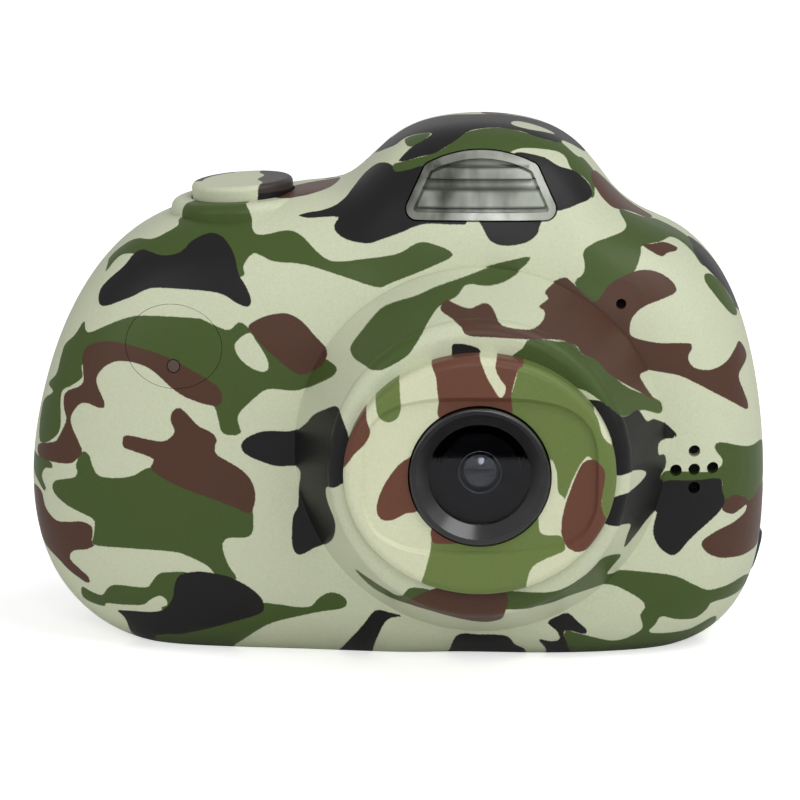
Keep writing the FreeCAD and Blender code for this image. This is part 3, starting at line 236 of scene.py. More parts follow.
RING_BROWN = (
    ((-3.7, 36.5), (-3.3, 34.5), (-2.9, 33.1), (-3.4, 31.7), (-4.8, 30.3), (-6.1, 28.5), (-7.5, 27),
     (-7.5, 31), (-6, 35)),
    ((5.2, 43.5), (5.3, 39.8), (5.6, 37.1), (6.2, 34.5), (14, 34.5), (14.6, 38), (15.4, 41), (16, 41.5),
     (15.8, 44)),
    ((24.3, 29.6), (25.4, 29.3), (26.2, 28.2), (26.2, 26.9), (25.9, 25), (25.9, 23.4), (26.7, 21.8),
     (28, 21), (26, 19), (24, 18.1), (22.6, 18), (21.4, 18.8), (20.8, 20.6), (21, 22.4), (21.5, 24.4),
     (22.4, 26.9), (23.3, 28.9)),
    ((3.5, 31), (2.1, 29.9), (.6, 28.8), (-1, 26.6), (-1.9, 24.5), (-2.1, 22.9), (-1.5, 21.9), (-.2, 21.8),
     (1.4, 22.6), (3.5, 23.8)),
    ((4.7, 20.7), (5.7, 21), (6.8, 19.9), (8.3, 19), (6.8, 18.8), (4.9, 19)),
)
RING_CREAM = (
    ((19.4, 29.6), (20.2, 28.2), (20.4, 25.6), (21.2, 24.5), (20.9, 22.2), (20.8, 20.6), (19.8, 20),
     (18.5, 20.1), (18.1, 21), (18.5, 23), (19.2, 25)),
    ((25, 36), (25.4, 34.5), (25.8, 33), (26.6, 31.8), (28, 31.2), (28.5, 35)),
    ((10.6, 43.4), (12.8, 43.4), (12.6, 41.4), (13.1, 40), (13.9, 38.8), (13.3, 37.5), (12.3, 38.8),
     (11.3, 40.7)),
)

# Print of the body, in millimetres
SIDE_START = 3.5        # depth behind the face where the flat sheet begins to bend round the side
SIDE_BEND = 8.0         # depth over which it bends
FRONT_FACE_Y = -7.5
BACK_FACE_Y = 23.2
SHEET_CENTRE = (2.0, 30.0)
FRONT_ENDS_Y = 10.0     # the front's print fades into the back's from here
BACK_STARTS_Y = 15.0    # to here
SWAY = 4.4              # how far back the fade wanders along a wave, so that it leaves no straight edge
SWAY_PACE = 2.6         # length of that wave, divided by 2 pi
REACH = 1.2             # a signed distance is kept within this of an edge
CURVE_STEPS = 6         # straight pieces that each span of an outline is drawn with
CHUNK = 4000            # points measured at a time
TINY = 1e-12            # stands in for a divisor that is zero

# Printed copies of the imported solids
SHELL_GRAIN = 0.75      # longest triangle edge on the shells, in millimetres
SMALL_GRAIN = 0.45      # and on the small printed pieces
DISC_WIDEN = 0.06       # the indicator disc's print partly closes the fitting gap round it, in millimetres
MERGE = 1e-7            # corners become one when they are nearer than this, in metres,
MERGE_TURN = 0.02       # and their normals differ by less than this

# Each layer of the print and the ink it is drawn with, in the order they are laid
LAYER_INKS = {"green": "Green", "brown": "Brown", "black": "Black", "cream": "Ground"}
FRAY_PER_M = 4200.0     # fineness of the noise on the edges of the ink
SPECK_PER_M = 3200.0    # and of the speckle in it
SPECK_TONES = (.9, 1.1)

# Moulded grain: fineness of its broad noise, and how much that shifts the roughness
BROAD_PER_M = 90.0
GRAIN_SPREAD = .12

# Copper tracks and joints, in parts of their pattern's pitch
TRACK_SHIFT = .37       # each row is shifted by this share of TRACK_LENGTH
TRACK_LENGTH = 1.7
TRACK_PITCH = .42
TRACK_WIDTH = .045
JOINT_RADIUS = .14

# Dark patches of the shutter cap, in millimetres: one on its right, one at its back left edge
CAP_DARK = (.042, .034, .03)
CAP_RIGHT = 2.1         # from its middle to the waved edge of the right patch
CAP_WAVE = .35
CAP_WAVE_PACE = 1.1
CAP_SIDE = 1.3          # the right patch is black further than this below the top
CAP_RIM = 5.4           # the back left patch is outside this radius
CAP_LEFT = 1.5          # and this far left of the middle

# Marks on the rear keys, in millimetres from each key's middle: x to the user's right, z up
ARROW = ((-1.2, -.64), (0, .8), (1.2, -.64), (0, -.28))
PLAY_MARK = ((-.8, -1.05), (1.15, 0), (-.8, 1.05))
MODE_MARK = ((-1.1, -.85), (1.1, -.85), (1.1, .85), (-1.1, .85))
MODE_LINE = .3          # width of the frame's line
POWER_RADIUS = 1.0
POWER_LINE = .17        # half width of the broken ring and of its stroke
POWER_GAP = .38         # half width of the break
POWER_STROKE = .75      # half length of the stroke, and height of its middle
OK_RADIUS = 2.4
OK_LINE = .2
MARK_DEPTH = 1.2        # a mark is only on what is nearer than this to the key's face
# Turn of each arrow in degrees, and place of its middle. In the names of the keys, left and right are as seen
# from the front.
ARROWS = {"up": (0, (0, .9)), "right": (90, (-.5, 0)), "down": (180, (0, -.9)), "left": (-90, (.5, 0))}
KEY_BLACK = (.02, .021, .02)
KEY_PALE = (.62, .64, .6)
MARK_SOFTNESS = .03

# Flash cover: painted shadow lines where its bars meet the pane, as height, half width, half length in
# millimetres
FLASH_SEAM_SHADOWS = ((58.05, .35, 8.1), (60.3, .45, 7.3), (61.45, .25, 6.8), (62.9, .35, 5.9))
FLASH_MIDDLE_X = 10.7
SEAM_SHADOW_END = .2           # length over which a painted shadow line fades out
FLASH_DARK = (.05, .055, .038, 1)
FLASH_PALE = (.5, .53, .46, 1)
FLASH_BANDS = (300, 200, 130)   # how many of its cloudy bands, painted streaks of reflected light, go in a metre along x, y and z
FLASH_TONES = (.38, .85)        # cloudiness where it is dark and where it is pale
FLASH_REFLECTION_LEAN = (.002, .016)       # painted reflection: it grows paler from the first x to the second, in metres, by this much cloudiness
FLASH_REFLECTION_LEAN_BY = .3              # by this much cloudiness

# Bright ring round the lens barrel's eye, a painted highlight on the eye's edge, in metres
EYE_RING_R = .00265
EYE_RING_WIRE = .00005
EYE_RING_STEPS = 96
EYE_RING_SIDES = 12

# Stage, in metres
SENSOR = 36.0           # width of the view's film, in millimetres
VIEW_REACH = (.01, 20)  # nearest and furthest that the view sees
VIEW_TARGET = Vector((.0004, 0, .0324))
BODY_MIDDLE = Vector((0, 0, .03))
# Lamp name, place, width, watts
LAMPS = (
    ("lamp_above", (.5, -.4, 1.05), .8, 5.7),
    ("lamp_left", (-.9, -.75, .5), .6, 2.0),
    ("lamp_right", (.95, -.6, .6), .6, 2.3),
    ("lamp_front", (.06, -.9, .36), .3, 1.9),
)
FLOOR_RADIUS = 3.0
FLOOR_RINGS = 24
FLOOR_SPOKES = 96
FLOOR_GLOW = .55        # light that the view alone sees on the floor
GLOSS_WHITE = .4        # how far polished faces see the even light as white
# The dark card: how far it reaches across and in front of the body, and its height over the floor
CARD_X = (-.25, .25)
CARD_Y = (-.6, -.1571)
CARD_HEIGHT = .0005


class PrintColours(bpy.types.PropertyGroup):
    """Inks of the camouflage on the body and on the lens ring."""

    cream: FloatVectorProperty(
        name="Cream", description="Ground of the body's print", subtype="COLOR", default=(.55, .585, .42))
    green: FloatVectorProperty(
        name="Green", description="Leaf patches", subtype="COLOR", default=(.053, .086, .019))
    brown: FloatVectorProperty(
        name="Brown", description="Earth patches", subtype="COLOR", default=(.074, .033, .020))
    black: FloatVectorProperty(
        name="Black", description="Darkest patches", subtype="COLOR", default=(.0085, .0075, .0078))
    ring_cream: FloatVectorProperty(
        name="Ring cream", description="Ground of the lens ring", subtype="COLOR", default=(.60, .62, .43))
    ring_olive: FloatVectorProperty(
        name="Ring olive", description="Lighter green of the lens ring", subtype="COLOR",
        default=(.128, .178, .048))
    ring_brown: FloatVectorProperty(
        name="Ring brown", description="Reddish brown of the lens ring", subtype="COLOR",
        default=(.125, .047, .028))


class StageSettings(bpy.types.PropertyGroup):
    """Camera and light round the camera body."""

    azimuth: FloatProperty(
        name="Azimuth", description="Turn of the view round the body", subtype="ANGLE", unit="ROTATION",
        default=math.radians(1.0))
    elevation: FloatProperty(
        name="Elevation", description="Height of the view above level", subtype="ANGLE", unit="ROTATION",
        default=math.radians(11.5))
    distance: FloatProperty(
        name="Distance", description="From the view to the body", unit="LENGTH", default=0.8)
    angle: FloatProperty(
        name="Field of view", description="Width that the view takes in", subtype="ANGLE", unit="ROTATION",
        default=math.radians(7.3))
    ambient: FloatProperty(
        name="Ambient", description="Strength of the even light from all round", default=.36, min=0)
    lamps: FloatProperty(
        name="Lamps", description="Strength of the soft lamps", default=1.0, min=0)


# ---------------------------------------------------------------- outlines and distances


def smooth_closed(corners):
    """Closed Catmull-Rom line through the corners: on each span the cubic whose slope at a corner is half
    the step between its two neighbours."""
    p = np.asarray(corners, float)
    before, after, beyond = np.roll(p, 1, 0), np.roll(p, -1, 0), np.roll(p, -2, 0)
    t = (np.arange(CURVE_STEPS) / CURVE_STEPS)[None, :, None]
    a, b, c, d = before[:, None], p[:, None], after[:, None], beyond[:, None]
    line = .5 * (2 * b + (c - a) * t + (2 * a - 5 * b + 4 * c - d) * t**2 + (3 * b - a - 3 * c + d) * t**3)
    return line.reshape(-1, 2)


def inside_distance(points, line):
    """Distance to the closed line, positive inside it. It is the least over the line's straight pieces, and
    the sign comes from counting crossings of a level ray."""
    a, b = line, np.roll(line, -1, 0)
    along = b - a
    length2 = np.maximum((along**2).sum(1), TINY)
    gap = points[:, None] - a[None]
    share = np.clip((gap * along).sum(2) / length2, 0, 1)
    away = np.sqrt(((gap - share[..., None] * along)**2).sum(2)).min(1)
    spans = (a[None, :, 1] > points[:, 1:]) != (b[None, :, 1] > points[:, 1:])
    rise = np.where(np.abs(along[:, 1]) < TINY, TINY, along[:, 1])
    crossing = a[:, 0] + (points[:, 1:] - a[:, 1]) * along[:, 0] / rise
    inside = (spans & (points[:, :1] < crossing)).sum(1) % 2 == 1
    return np.where(inside, away, -away)


def layer_distance(points, outlines, smooth=True):
    """Greatest signed distance over a layer's outlines, kept within REACH. Each outline is only measured
    for the points near it."""
    out = np.full(len(points), -REACH)
    for corners in outlines:
        line = smooth_closed(corners) if smooth else np.asarray(corners, float)
        near = ((points > line.min(0) - REACH) & (points < line.max(0) + REACH)).all(1)
        index = np.flatnonzero(near)
        for part in np.array_split(index, max(1, len(index) // CHUNK)):
            out[part] = np.maximum(out[part], inside_distance(points[part], line))
    return np.clip(out, -REACH, REACH)


def smoothstep(low, high, value):
    """0 below low, 1 above high, and 3t^2 - 2t^3 between."""
    t = np.clip((value - low) / (high - low), 0, 1)
    return t * t * (3 - 2 * t)


def unfolded(x, z, depth):
    """Place on the flat sheet of a point `depth` behind the face: pushed outwards from the sheet's centre
    by the square of its depth past SIDE_START while the sheet bends, and by the depth itself after that."""
    t = np.maximum(0, depth - SIDE_START)
    push = np.where(t < SIDE_BEND, t**2 / (2 * SIDE_BEND), t - SIDE_BEND / 2)
    out = np.stack([x - SHEET_CENTRE[0], z - SHEET_CENTRE[1]], 1)
    out /= np.maximum(np.linalg.norm(out, axis=1, keepdims=True), TINY)
    return np.stack([x, z], 1) + push[:, None] * out


def body_print(points):
    """Signed distances of the body's four layers. The front's sheet is used before FRONT_ENDS_Y, its mirror
    image behind BACK_STARTS_Y, and a blend of the two distances between. The fade is pushed back by a sine
    wave of x + z."""
    x, y, z = points.T
    front = unfolded(x, z, y - FRONT_FACE_Y)
    back = unfolded(-x, z, BACK_FACE_Y - y)
    sway = SWAY * (.5 + .5 * np.sin((x + z) / SWAY_PACE))
    share = smoothstep(FRONT_ENDS_Y, BACK_STARTS_Y, y - sway)
    return {
        name: layer_distance(front, outlines) * (1 - share) + layer_distance(back, outlines) * share
        for name, outlines in zip(LAYER_INKS, (GREEN, BROWN, BLACK, CREAM))
    }


def ring_print(points):
    """Signed distances of the ring's layers, straight from front to back."""
    return {
        name: layer_distance(points[:, [0, 2]], outlines)
        for name, outlines in zip(LAYER_INKS, (RING_GREEN, RING_BROWN, (), RING_CREAM))
    }


def cap_print(points):
    """The shutter cap's dark patches, in the layer of the brown ink. The edge of the right one is a sine
    wave of y, and it is black down the side. The left one is a piece of the rim."""
    x, y, z = points.T
    cx, cy = (points.min(0)[:2] + points.max(0)[:2]) / 2
    right = x - cx - CAP_RIGHT - CAP_WAVE * np.sin(CAP_WAVE_PACE * (y - cy))
    side = z.max() - CAP_SIDE - z
    left = np.minimum(np.hypot(x - cx, y - cy) - CAP_RIM, np.minimum(y - cy, cx - CAP_LEFT - x))
    nowhere = np.full(len(x), -REACH)
    dark = np.clip(np.maximum(right, left), -REACH, REACH)
    black = np.clip(np.minimum(right, side), -REACH, REACH)
    return dict(zip(LAYER_INKS, (nowhere, dark, black, nowhere)))


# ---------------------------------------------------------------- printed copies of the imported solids


def rows_of(items, field, width, kind):
    """One field of all the items of a mesh, as an array with `width` numbers in a row."""
    values = np.empty(len(items) * width, kind)
    items.foreach_get(field, values)
    return values.reshape(-1, width)


def triangles_of(node):
    """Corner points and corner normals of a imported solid, as two arrays of n by 3 by 3."""
    mesh = frame["nodes"][node].data
    mesh.calc_loop_triangles()
    loops = rows_of(mesh.loop_triangles, "loops", 3, np.int32)
    vertex = rows_of(mesh.loops, "vertex_index", 1, np.int32)[:, 0]
    places = rows_of(mesh.vertices, "co", 3, np.float32).astype(float)
    normals = rows_of(mesh.corner_normals, "vector", 3, np.float32).astype(float)
    return places[vertex[loops]], normals[loops]


def split_once(points, normals, marked):
    """Splits triangles at the middles of their marked edges. Edge i joins corner i to the next. A triangle
    with one or two marked edges is first turned so that its unmarked edge, or edges, come last."""
    count = marked.sum(1)
    turn = np.zeros(len(points), int)
    turn[count == 1] = marked[count == 1].argmax(1)
    turn[count == 2] = ((~marked[count == 2]).argmax(1) + 1) % 3
    order = (turn[:, None] + np.arange(3)) % 3
    rows = np.arange(len(points))[:, None]
    p, n = points[rows, order], normals[rows, order]
    mid_p = (p + np.roll(p, -1, 1)) / 2
    mid_n = n + np.roll(n, -1, 1)
    mid_n /= np.maximum(np.linalg.norm(mid_n, axis=2, keepdims=True), TINY)
    corners_p = np.concatenate([p, mid_p], 1)
    corners_n = np.concatenate([n, mid_n], 1)
    fans = {
        0: ((0, 1, 2),),
        1: ((0, 3, 2), (3, 1, 2)),
        2: ((3, 1, 4), (0, 3, 4), (0, 4, 2)),
        3: ((0, 3, 5), (3, 1, 4), (5, 4, 2), (3, 4, 5)),
    }
    new_p = [corners_p[count == k][:, list(tri)] for k, fan in fans.items() for tri in fan]
    new_n = [corners_n[count == k][:, list(tri)] for k, fan in fans.items() for tri in fan]
    return np.concatenate(new_p), np.concatenate(new_n)


def refined(points, normals, longest, centre):
    """Halves every edge over `longest` on the faces that look away from the centre, round by round. Both
    triangles at an edge see the same length and middle, so no crack opens; an edge shared with an inward
    face is left."""
    outward = ((normals.mean(1) * (points.mean(1) - centre)).sum(1)) > 0
    inner_p, inner_n = points[~outward], normals[~outward]
    p, n = points[outward], normals[outward]
    while True:
        length = np.linalg.norm(p - np.roll(p, -1, 1), axis=2)
        marked = length > longest
        if not marked.any():
            break
        busy = marked.any(1)
        done_p, done_n = p[~busy], n[~busy]
        p, n = split_once(p[busy], n[busy], marked[busy])
        p, n = np.concatenate([done_p, p]), np.concatenate([done_n, n])
    return np.concatenate([p, inner_p]), np.concatenate([n, inner_n])


def printed_copy(node, material, longest, distances, widen=0.0):
    """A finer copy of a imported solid, merged where it is smooth, with one attribute for each layer of its
    print. It stands for the node and rides on the node's body. Widen moves its edge outwards in x and z."""
    points, normals = triangles_of(node)
    low, high = points.min((0, 1)), points.max((0, 1))
    centre, half = (low + high) / 2, (high - low) / 2
    points = centre + (points - centre) * (1 + widen * MM / half * (1, 0, 1))
    points, normals = refined(points, normals, longest * MM, centre)
    flat = points.reshape(-1, 3)
    key = np.round(np.hstack([flat / MERGE, normals.reshape(-1, 3) / MERGE_TURN])).astype(np.int64)
    _, first, index = np.unique(key, axis=0, return_index=True, return_inverse=True)
    faces = index.reshape(-1, 3)
    whole = (faces != np.roll(faces, -1, 1)).all(1)
    faces, normals = faces[whole], normals[whole]
    mesh = bpy.data.meshes.new(node + "_printed")
    mesh.from_pydata(flat[first], [], faces)
    mesh.polygons.foreach_set("use_smooth", np.ones(len(faces), bool))
    for name, values in distances(flat[first] / MM).items():
        layer = mesh.attributes.new("print_" + name, "FLOAT", "POINT")
        layer.data.foreach_set("value", values.astype(np.float32))
    mesh.materials.append(material)
    mesh.update()
    mesh.normals_split_custom_set(normals.reshape(-1, 3))
    piece = added(mesh.name, mesh)
    ride_with(piece, node)
    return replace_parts(piece, node)


def added(name, data):
    """A new object in the scene."""
    piece = bpy.data.objects.new(name, data)
    bpy.context.scene.collection.objects.link(piece)
    return piece


def ride_with(piece, node):
    """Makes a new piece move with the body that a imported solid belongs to."""
    carrier = frame["nodes"][node].parent
    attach(piece, next(name for name, empty in frame["bodies"].items() if empty == carrier))


# ---------------------------------------------------------------- shader building


def set_up(tree, node, settings):
    """Gives a shader node its settings. A name that is one of its sockets, with _ for a space, gets a
    value, or a link when the value is another node's socket."""
    for name, value in settings.items():
        socket = node.inputs.get(name.replace("_", " "))
        if socket is None:
            setattr(node, name, value)
        else:
            feed(tree, socket, value)
    return node


def feed(tree, socket, value):
    """Links another node's socket to this one, or sets its plain value."""
    if isinstance(value, bpy.types.NodeSocket):
        tree.links.new(value, socket)
    else:
        socket.default_value = value


def wired(tree, kind, **settings):
    """A new shader node with its settings."""
    return set_up(tree, tree.nodes.new("ShaderNode" + kind), settings)


def math_node(tree, operation, first, second=None):
    """Result of one step of arithmetic on sockets or plain numbers."""
    node = wired(tree, "Math", operation=operation)
    feed(tree, node.inputs[0], first)
    if second is not None:
        feed(tree, node.inputs[1], second)
    return node.outputs[0]


def ranged(tree, value, low=0.0, high=1.0, start=0.0, end=1.0, curve="LINEAR"):
    """Carries a value from the range low to high over to the range start to end, and holds it there."""
    return wired(tree, "MapRange", interpolation_type=curve, Value=value, From_Min=low, From_Max=high,
                 To_Min=start, To_Max=end).outputs[0]


def blended(tree, share, first, second):
    """Colour that goes from the first to the second while the share goes from 0 to 1. A mix node has
    several inputs of one name, so its colour inputs are found by their number."""
    mix = wired(tree, "Mix", data_type="RGBA")
    for number, value in ((0, share), (6, first), (7, second)):
        feed(tree, mix.inputs[number], value)
    return mix.outputs[2]


def object_place(tree):
    """Place of the point in the piece's own space."""
    return wired(tree, "TexCoord").outputs["Object"]


def noise(tree, place, scale, detail, **more):
    """Height of a noise texture."""
    return wired(tree, "TexNoise", Vector=place, Scale=scale, Detail=detail, **more).outputs[0]


def new_group(name, inputs, outputs):
    """An empty shader group with inputs {name: value} and outputs {name: kind}. Returns the group, its
    inputs' sockets and its last node."""
    tree = bpy.data.node_groups.new(name, "ShaderNodeTree")
    for label, value in inputs.items():
        kind = "NodeSocketColor" if isinstance(value, tuple) else "NodeSocketFloat"
        tree.interface.new_socket(label, in_out="INPUT", socket_type=kind).default_value = value
    for label, kind in outputs.items():
        tree.interface.new_socket(label, in_out="OUTPUT", socket_type="NodeSocket" + kind)
    return tree, tree.nodes.new("NodeGroupInput").outputs, tree.nodes.new("NodeGroupOutput")


def mould_grain_group():
    """Fine spark-eroded grain of a moulded skin: small even noise for height, and slow broad noise that
    shifts the roughness, both in object space."""
    tree, given, out = new_group("mould_grain", {"Grain per mm": 3.0, "Roughness": .4, "Spread": .06},
                                 {"Height": "Float", "Roughness": "Float"})
    place = object_place(tree)
    fine = noise(tree, place, math_node(tree, "MULTIPLY", given["Grain per mm"], 1 / MM), 2.0)
    broad = noise(tree, place, BROAD_PER_M, 3.0)
    swing = math_node(tree, "MULTIPLY", math_node(tree, "SUBTRACT", broad, .5), given["Spread"])
    set_up(tree, out, {"Height": fine, "Roughness": math_node(tree, "ADD", swing, given["Roughness"])})
    return tree


def camouflage_group():
    """Lays four inks over a ground. Each mask is where a layer's signed distance, roughened by small noise
    as a dot print is, passes zero; a fine speckle varies the ink."""
    tree, given, out = new_group(
        "camouflage_print",
        {"Ground": (1, 1, 1, 1), "Green": (0, 1, 0, 1), "Brown": (.5, .2, 0, 1), "Black": (0, 0, 0, 1),
         "Edge": .07, "Fray": .16},
        {"Color": "Color"})
    place = object_place(tree)
    fray = math_node(tree, "SUBTRACT", noise(tree, place, FRAY_PER_M, 1.0), .5)
    fray = math_node(tree, "MULTIPLY", fray, given["Fray"])
    start = math_node(tree, "MULTIPLY", given["Edge"], -1.0)
    colour = given["Ground"]
    for layer, ink in LAYER_INKS.items():
        distance = wired(tree, "Attribute", attribute_name="print_" + layer).outputs["Fac"]
        reach = math_node(tree, "ADD", distance, fray)
        mask = ranged(tree, reach, start, given["Edge"], curve="SMOOTHSTEP")
        colour = blended(tree, mask, colour, given[ink])
    shade = ranged(tree, noise(tree, place, SPECK_PER_M, 2.0), 0.0, 1.0, *SPECK_TONES)
    tint = wired(tree, "VectorMath", operation="SCALE", Scale=shade)
    feed(tree, tint.inputs[0], colour)
    set_up(tree, out, {"Color": tint.outputs[0]})
    return tree


def smudge_group():
    """Faint wipe marks on polished plastic and metal: stretched noise added to the roughness."""
    tree, given, out = new_group("smudge", {"Roughness": .08, "Amount": .06, "Scale": 220.0},
                                 {"Roughness": "Float"})
    stretch = wired(tree, "Mapping", Vector=object_place(tree), Rotation=(0, .6, 0), Scale=(1, 1, .25))
    wipe = noise(tree, stretch.outputs[0], given["Scale"], 4.0, Distortion=.6)
    mark = math_node(tree, "MULTIPLY", wipe, given["Amount"])
    set_up(tree, out, {"Roughness": math_node(tree, "ADD", mark, given["Roughness"])})
    return tree


def tracks_group():
    """Copper tracks and joints under a film: the level and upright seams of a brick pattern, and round dots
    at the cells of a Voronoi pattern, all in object space across x and z."""
    tree, given, out = new_group(
        "copper_tracks",
        {"Film": (0, .2, .1, 1), "Track": (.1, .4, .2, 1), "Joint": (.7, .7, .7, 1), "Pitch per m": 700.0},
        {"Color": "Color", "Metal": "Float", "Height": "Float"})
    turn = wired(tree, "Mapping", Vector=object_place(tree), Rotation=(math.pi / 2, 0, 0))
    sheet = {"Vector": turn.outputs[0], "Scale": given["Pitch per m"]}
    seams = wired(tree, "TexBrick", offset=TRACK_SHIFT, Mortar_Size=TRACK_WIDTH, Mortar_Smooth=0.0,
                  Brick_Width=TRACK_LENGTH, Row_Height=TRACK_PITCH, **sheet).outputs["Fac"]
    dots = wired(tree, "TexVoronoi", **sheet).outputs["Distance"]
    joint = math_node(tree, "LESS_THAN", dots, JOINT_RADIUS)
    film = blended(tree, seams, given["Film"], given["Track"])
    set_up(tree, out, {"Color": blended(tree, joint, film, given["Joint"]), "Metal": joint,
                       "Height": math_node(tree, "ADD", joint, seams)})
    return tree


GROUP_MAKERS = {
    "mould_grain": mould_grain_group,
    "camouflage_print": camouflage_group,
    "smudge": smudge_group,
    "copper_tracks": tracks_group,
}


def group(tree, name, **values):
    """Places a shared shader group in a material, building it the first time; returns its outputs."""
    made = bpy.data.node_groups.get(name) or GROUP_MAKERS[name]()
    return wired(tree, "Group", node_tree=made, **values).outputs


def surface(name, colour, roughness, **sockets):
    """A Principled material with its constant values set; returns (material, shader, tree)."""
    material = bpy.data.materials.new(name)
    material.use_nodes = True
    material.diffuse_color = (*colour, 1)
    tree = material.node_tree
    shader = tree.nodes["Principled BSDF"]
    set_up(tree, shader, {"Base Color": (*colour, 1), "Roughness": roughness, **sockets})
    return material, shader, tree


def bump(tree, shader, height, depth, strength):
    """Feeds a height into the shader's normal; depth is in millimetres."""
    node = wired(tree, "Bump", Strength=strength, Distance=depth * MM, Height=height)
    set_up(tree, shader, {"Normal": node.outputs[0]})


def grain(tree, shader, per_mm, roughness, depth, strength):
    """Gives a surface the grain of a mould; depth is in millimetres."""
    skin = group(tree, "mould_grain", Grain_per_mm=per_mm, Roughness=roughness, Spread=GRAIN_SPREAD)
    set_up(tree, shader, {"Roughness": skin["Roughness"]})
    bump(tree, shader, skin["Height"], depth, strength)


def printed_plastic(name, ground, green, brown, black):
    """Satin moulded plastic with the camouflage print."""
    material, shader, tree = surface(name, ground, .42, Specular_IOR_Level=.22)
    inks = group(tree, "camouflage_print", Ground=(*ground, 1), Green=(*green, 1), Brown=(*brown, 1),
                 Black=(*black, 1))
    set_up(tree, shader, {"Base Color": inks["Color"]})
    grain(tree, shader, 3.2, .40, .012, .5)
    return material


def moulded(name, colour, roughness, grain_per_mm, depth, **sockets):
    """Plain moulded plastic or rubber with a fine grain."""
    material, shader, tree = surface(name, colour, roughness, **sockets)
    grain(tree, shader, grain_per_mm, roughness, depth, .6)
    return material


def polished(name, colour, roughness, amount, **sockets):
    """Gloss plastic, glass or metal with faint wipe marks."""
    material, shader, tree = surface(name, colour, roughness, **sockets)
    marks = group(tree, "smudge", Roughness=roughness, Amount=amount)
    set_up(tree, shader, {"Roughness": marks["Roughness"]})
    return material


def tracked(name, film, track, joint, pitch):
    """Board or flex film with copper tracks and soldered joints."""
    material, shader, tree = surface(name, film, .38)
    tracks = group(tree, "copper_tracks", Film=(*film, 1), Track=(*track, 1), Joint=(*joint, 1),
                   Pitch_per_m=pitch)
    set_up(tree, shader, {"Base Color": tracks["Color"], "Metallic": tracks["Metal"]})
    bump(tree, shader, tracks["Height"], .03, .5)
    return material


def marked_key_plastic():
    """Satin black key with a pale printed mark, where the mark's signed distance is positive."""
    material, shader, tree = surface("key_satin", KEY_BLACK, .38)
    mark = wired(tree, "Attribute", attribute_name="print_mark").outputs["Fac"]
    mask = ranged(tree, mark, -MARK_SOFTNESS, MARK_SOFTNESS, curve="SMOOTHSTEP")
    set_up(tree, shader, {"Base Color": blended(tree, mask, (*KEY_BLACK, 1), (*KEY_PALE, 1))})
    grain(tree, shader, 3.0, .38, .01, .6)
    return material


def prism_plastic():
    """Clear moulded plastic that stays smoky grey: broad upright bands, painted streaks of reflected light,
    vary its tone, a painted reflection makes it paler towards one end, painted shadow lines darken it along
    the edges of the bars, and it lets part of the light through to the reflector."""
    material, shader, tree = surface("flash_smoke_and_painted_light", (.3, .31, .27), .2, Transmission_Weight=.3, IOR=1.49,
                                     Coat_Weight=.2, Coat_Roughness=.1)
    place = object_place(tree)
    ends = wired(tree, "SeparateXYZ", Vector=place).outputs
    stretch = wired(tree, "Mapping", Vector=place, Scale=FLASH_BANDS)
    # Cloudy bands: painted streaks of the reflector's light
    flow = noise(tree, stretch.outputs[0], 1.0, 2.0, Distortion=.3)
    # Painted reflection: the cover grows paler towards larger x
    reflection_paleness = ranged(tree, ends["X"], *FLASH_REFLECTION_LEAN, end=FLASH_REFLECTION_LEAN_BY)
    tone = ranged(tree, math_node(tree, "ADD", flow, reflection_paleness), *FLASH_TONES)
    across = math_node(tree, "ABSOLUTE", math_node(tree, "SUBTRACT", ends["X"], FLASH_MIDDLE_X * MM))
    # Painted shadow lines where the bars meet the pane darken the tone
    for height, width, length in FLASH_SEAM_SHADOWS:
        gap = math_node(tree, "ABSOLUTE", math_node(tree, "SUBTRACT", ends["Z"], height * MM))
        away = ranged(tree, gap, 0.0, width * MM)
        past = ranged(tree, across, length * MM, (length + SEAM_SHADOW_END) * MM)
        tone = math_node(tree, "MULTIPLY", tone, math_node(tree, "MAXIMUM", away, past))
    set_up(tree, shader, {"Base Color": blended(tree, tone, FLASH_DARK, FLASH_PALE)})
    bump(tree, shader, flow, .02, .5)
    return material


def dress(material, *nodes):
    """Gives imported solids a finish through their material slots."""
    for name in nodes:
        for place in frame["nodes"][name].material_slots:
            place.material = material


# ---------------------------------------------------------------- operators, one for each group of pieces


class TOYCAM_OT_shells(bpy.types.Operator):
    """Print the camouflage on the front and rear shells and on the indicator disc."""

    bl_idname = "toycam.shells"
    bl_label = "Shells and Indicator Disc"

    def execute(self, context):
        inks = context.scene.toycam_print
        print_finish = printed_plastic("shell_print", inks.cream[:], inks.green[:], inks.brown[:],
                                       inks.black[:])
        for node in ("front_shell", "rear_shell"):
            printed_copy(node, print_finish, SHELL_GRAIN, body_print)
        disc = printed_copy("indicator_disc", print_finish, SMALL_GRAIN, body_print, DISC_WIDEN)
        return {"FINISHED"}


class TOYCAM_OT_shutter(bpy.types.Operator):
    """Print the shutter cap."""

    bl_idname = "toycam.shutter"
    bl_label = "Shutter Button"

    def execute(self, context):
        inks = context.scene.toycam_print
        cap = printed_plastic("cap_print", inks.cream[:], inks.green[:], CAP_DARK, inks.black[:])
        printed_copy("shutter_button", cap, SMALL_GRAIN, cap_print)
        return {"FINISHED"}


class TOYCAM_OT_lens_ring(bpy.types.Operator):
    """Print the sunk oval ring round the lens."""

    bl_idname = "toycam.lens_ring"
    bl_label = "Lens Ring"

    def execute(self, context):
        inks = context.scene.toycam_print
        finish = printed_plastic("ring_print", inks.ring_cream[:], inks.ring_olive[:], inks.ring_brown[:],
                                 inks.black[:])
        printed_copy("lens_ring", finish, SMALL_GRAIN, ring_print)
        return {"FINISHED"}


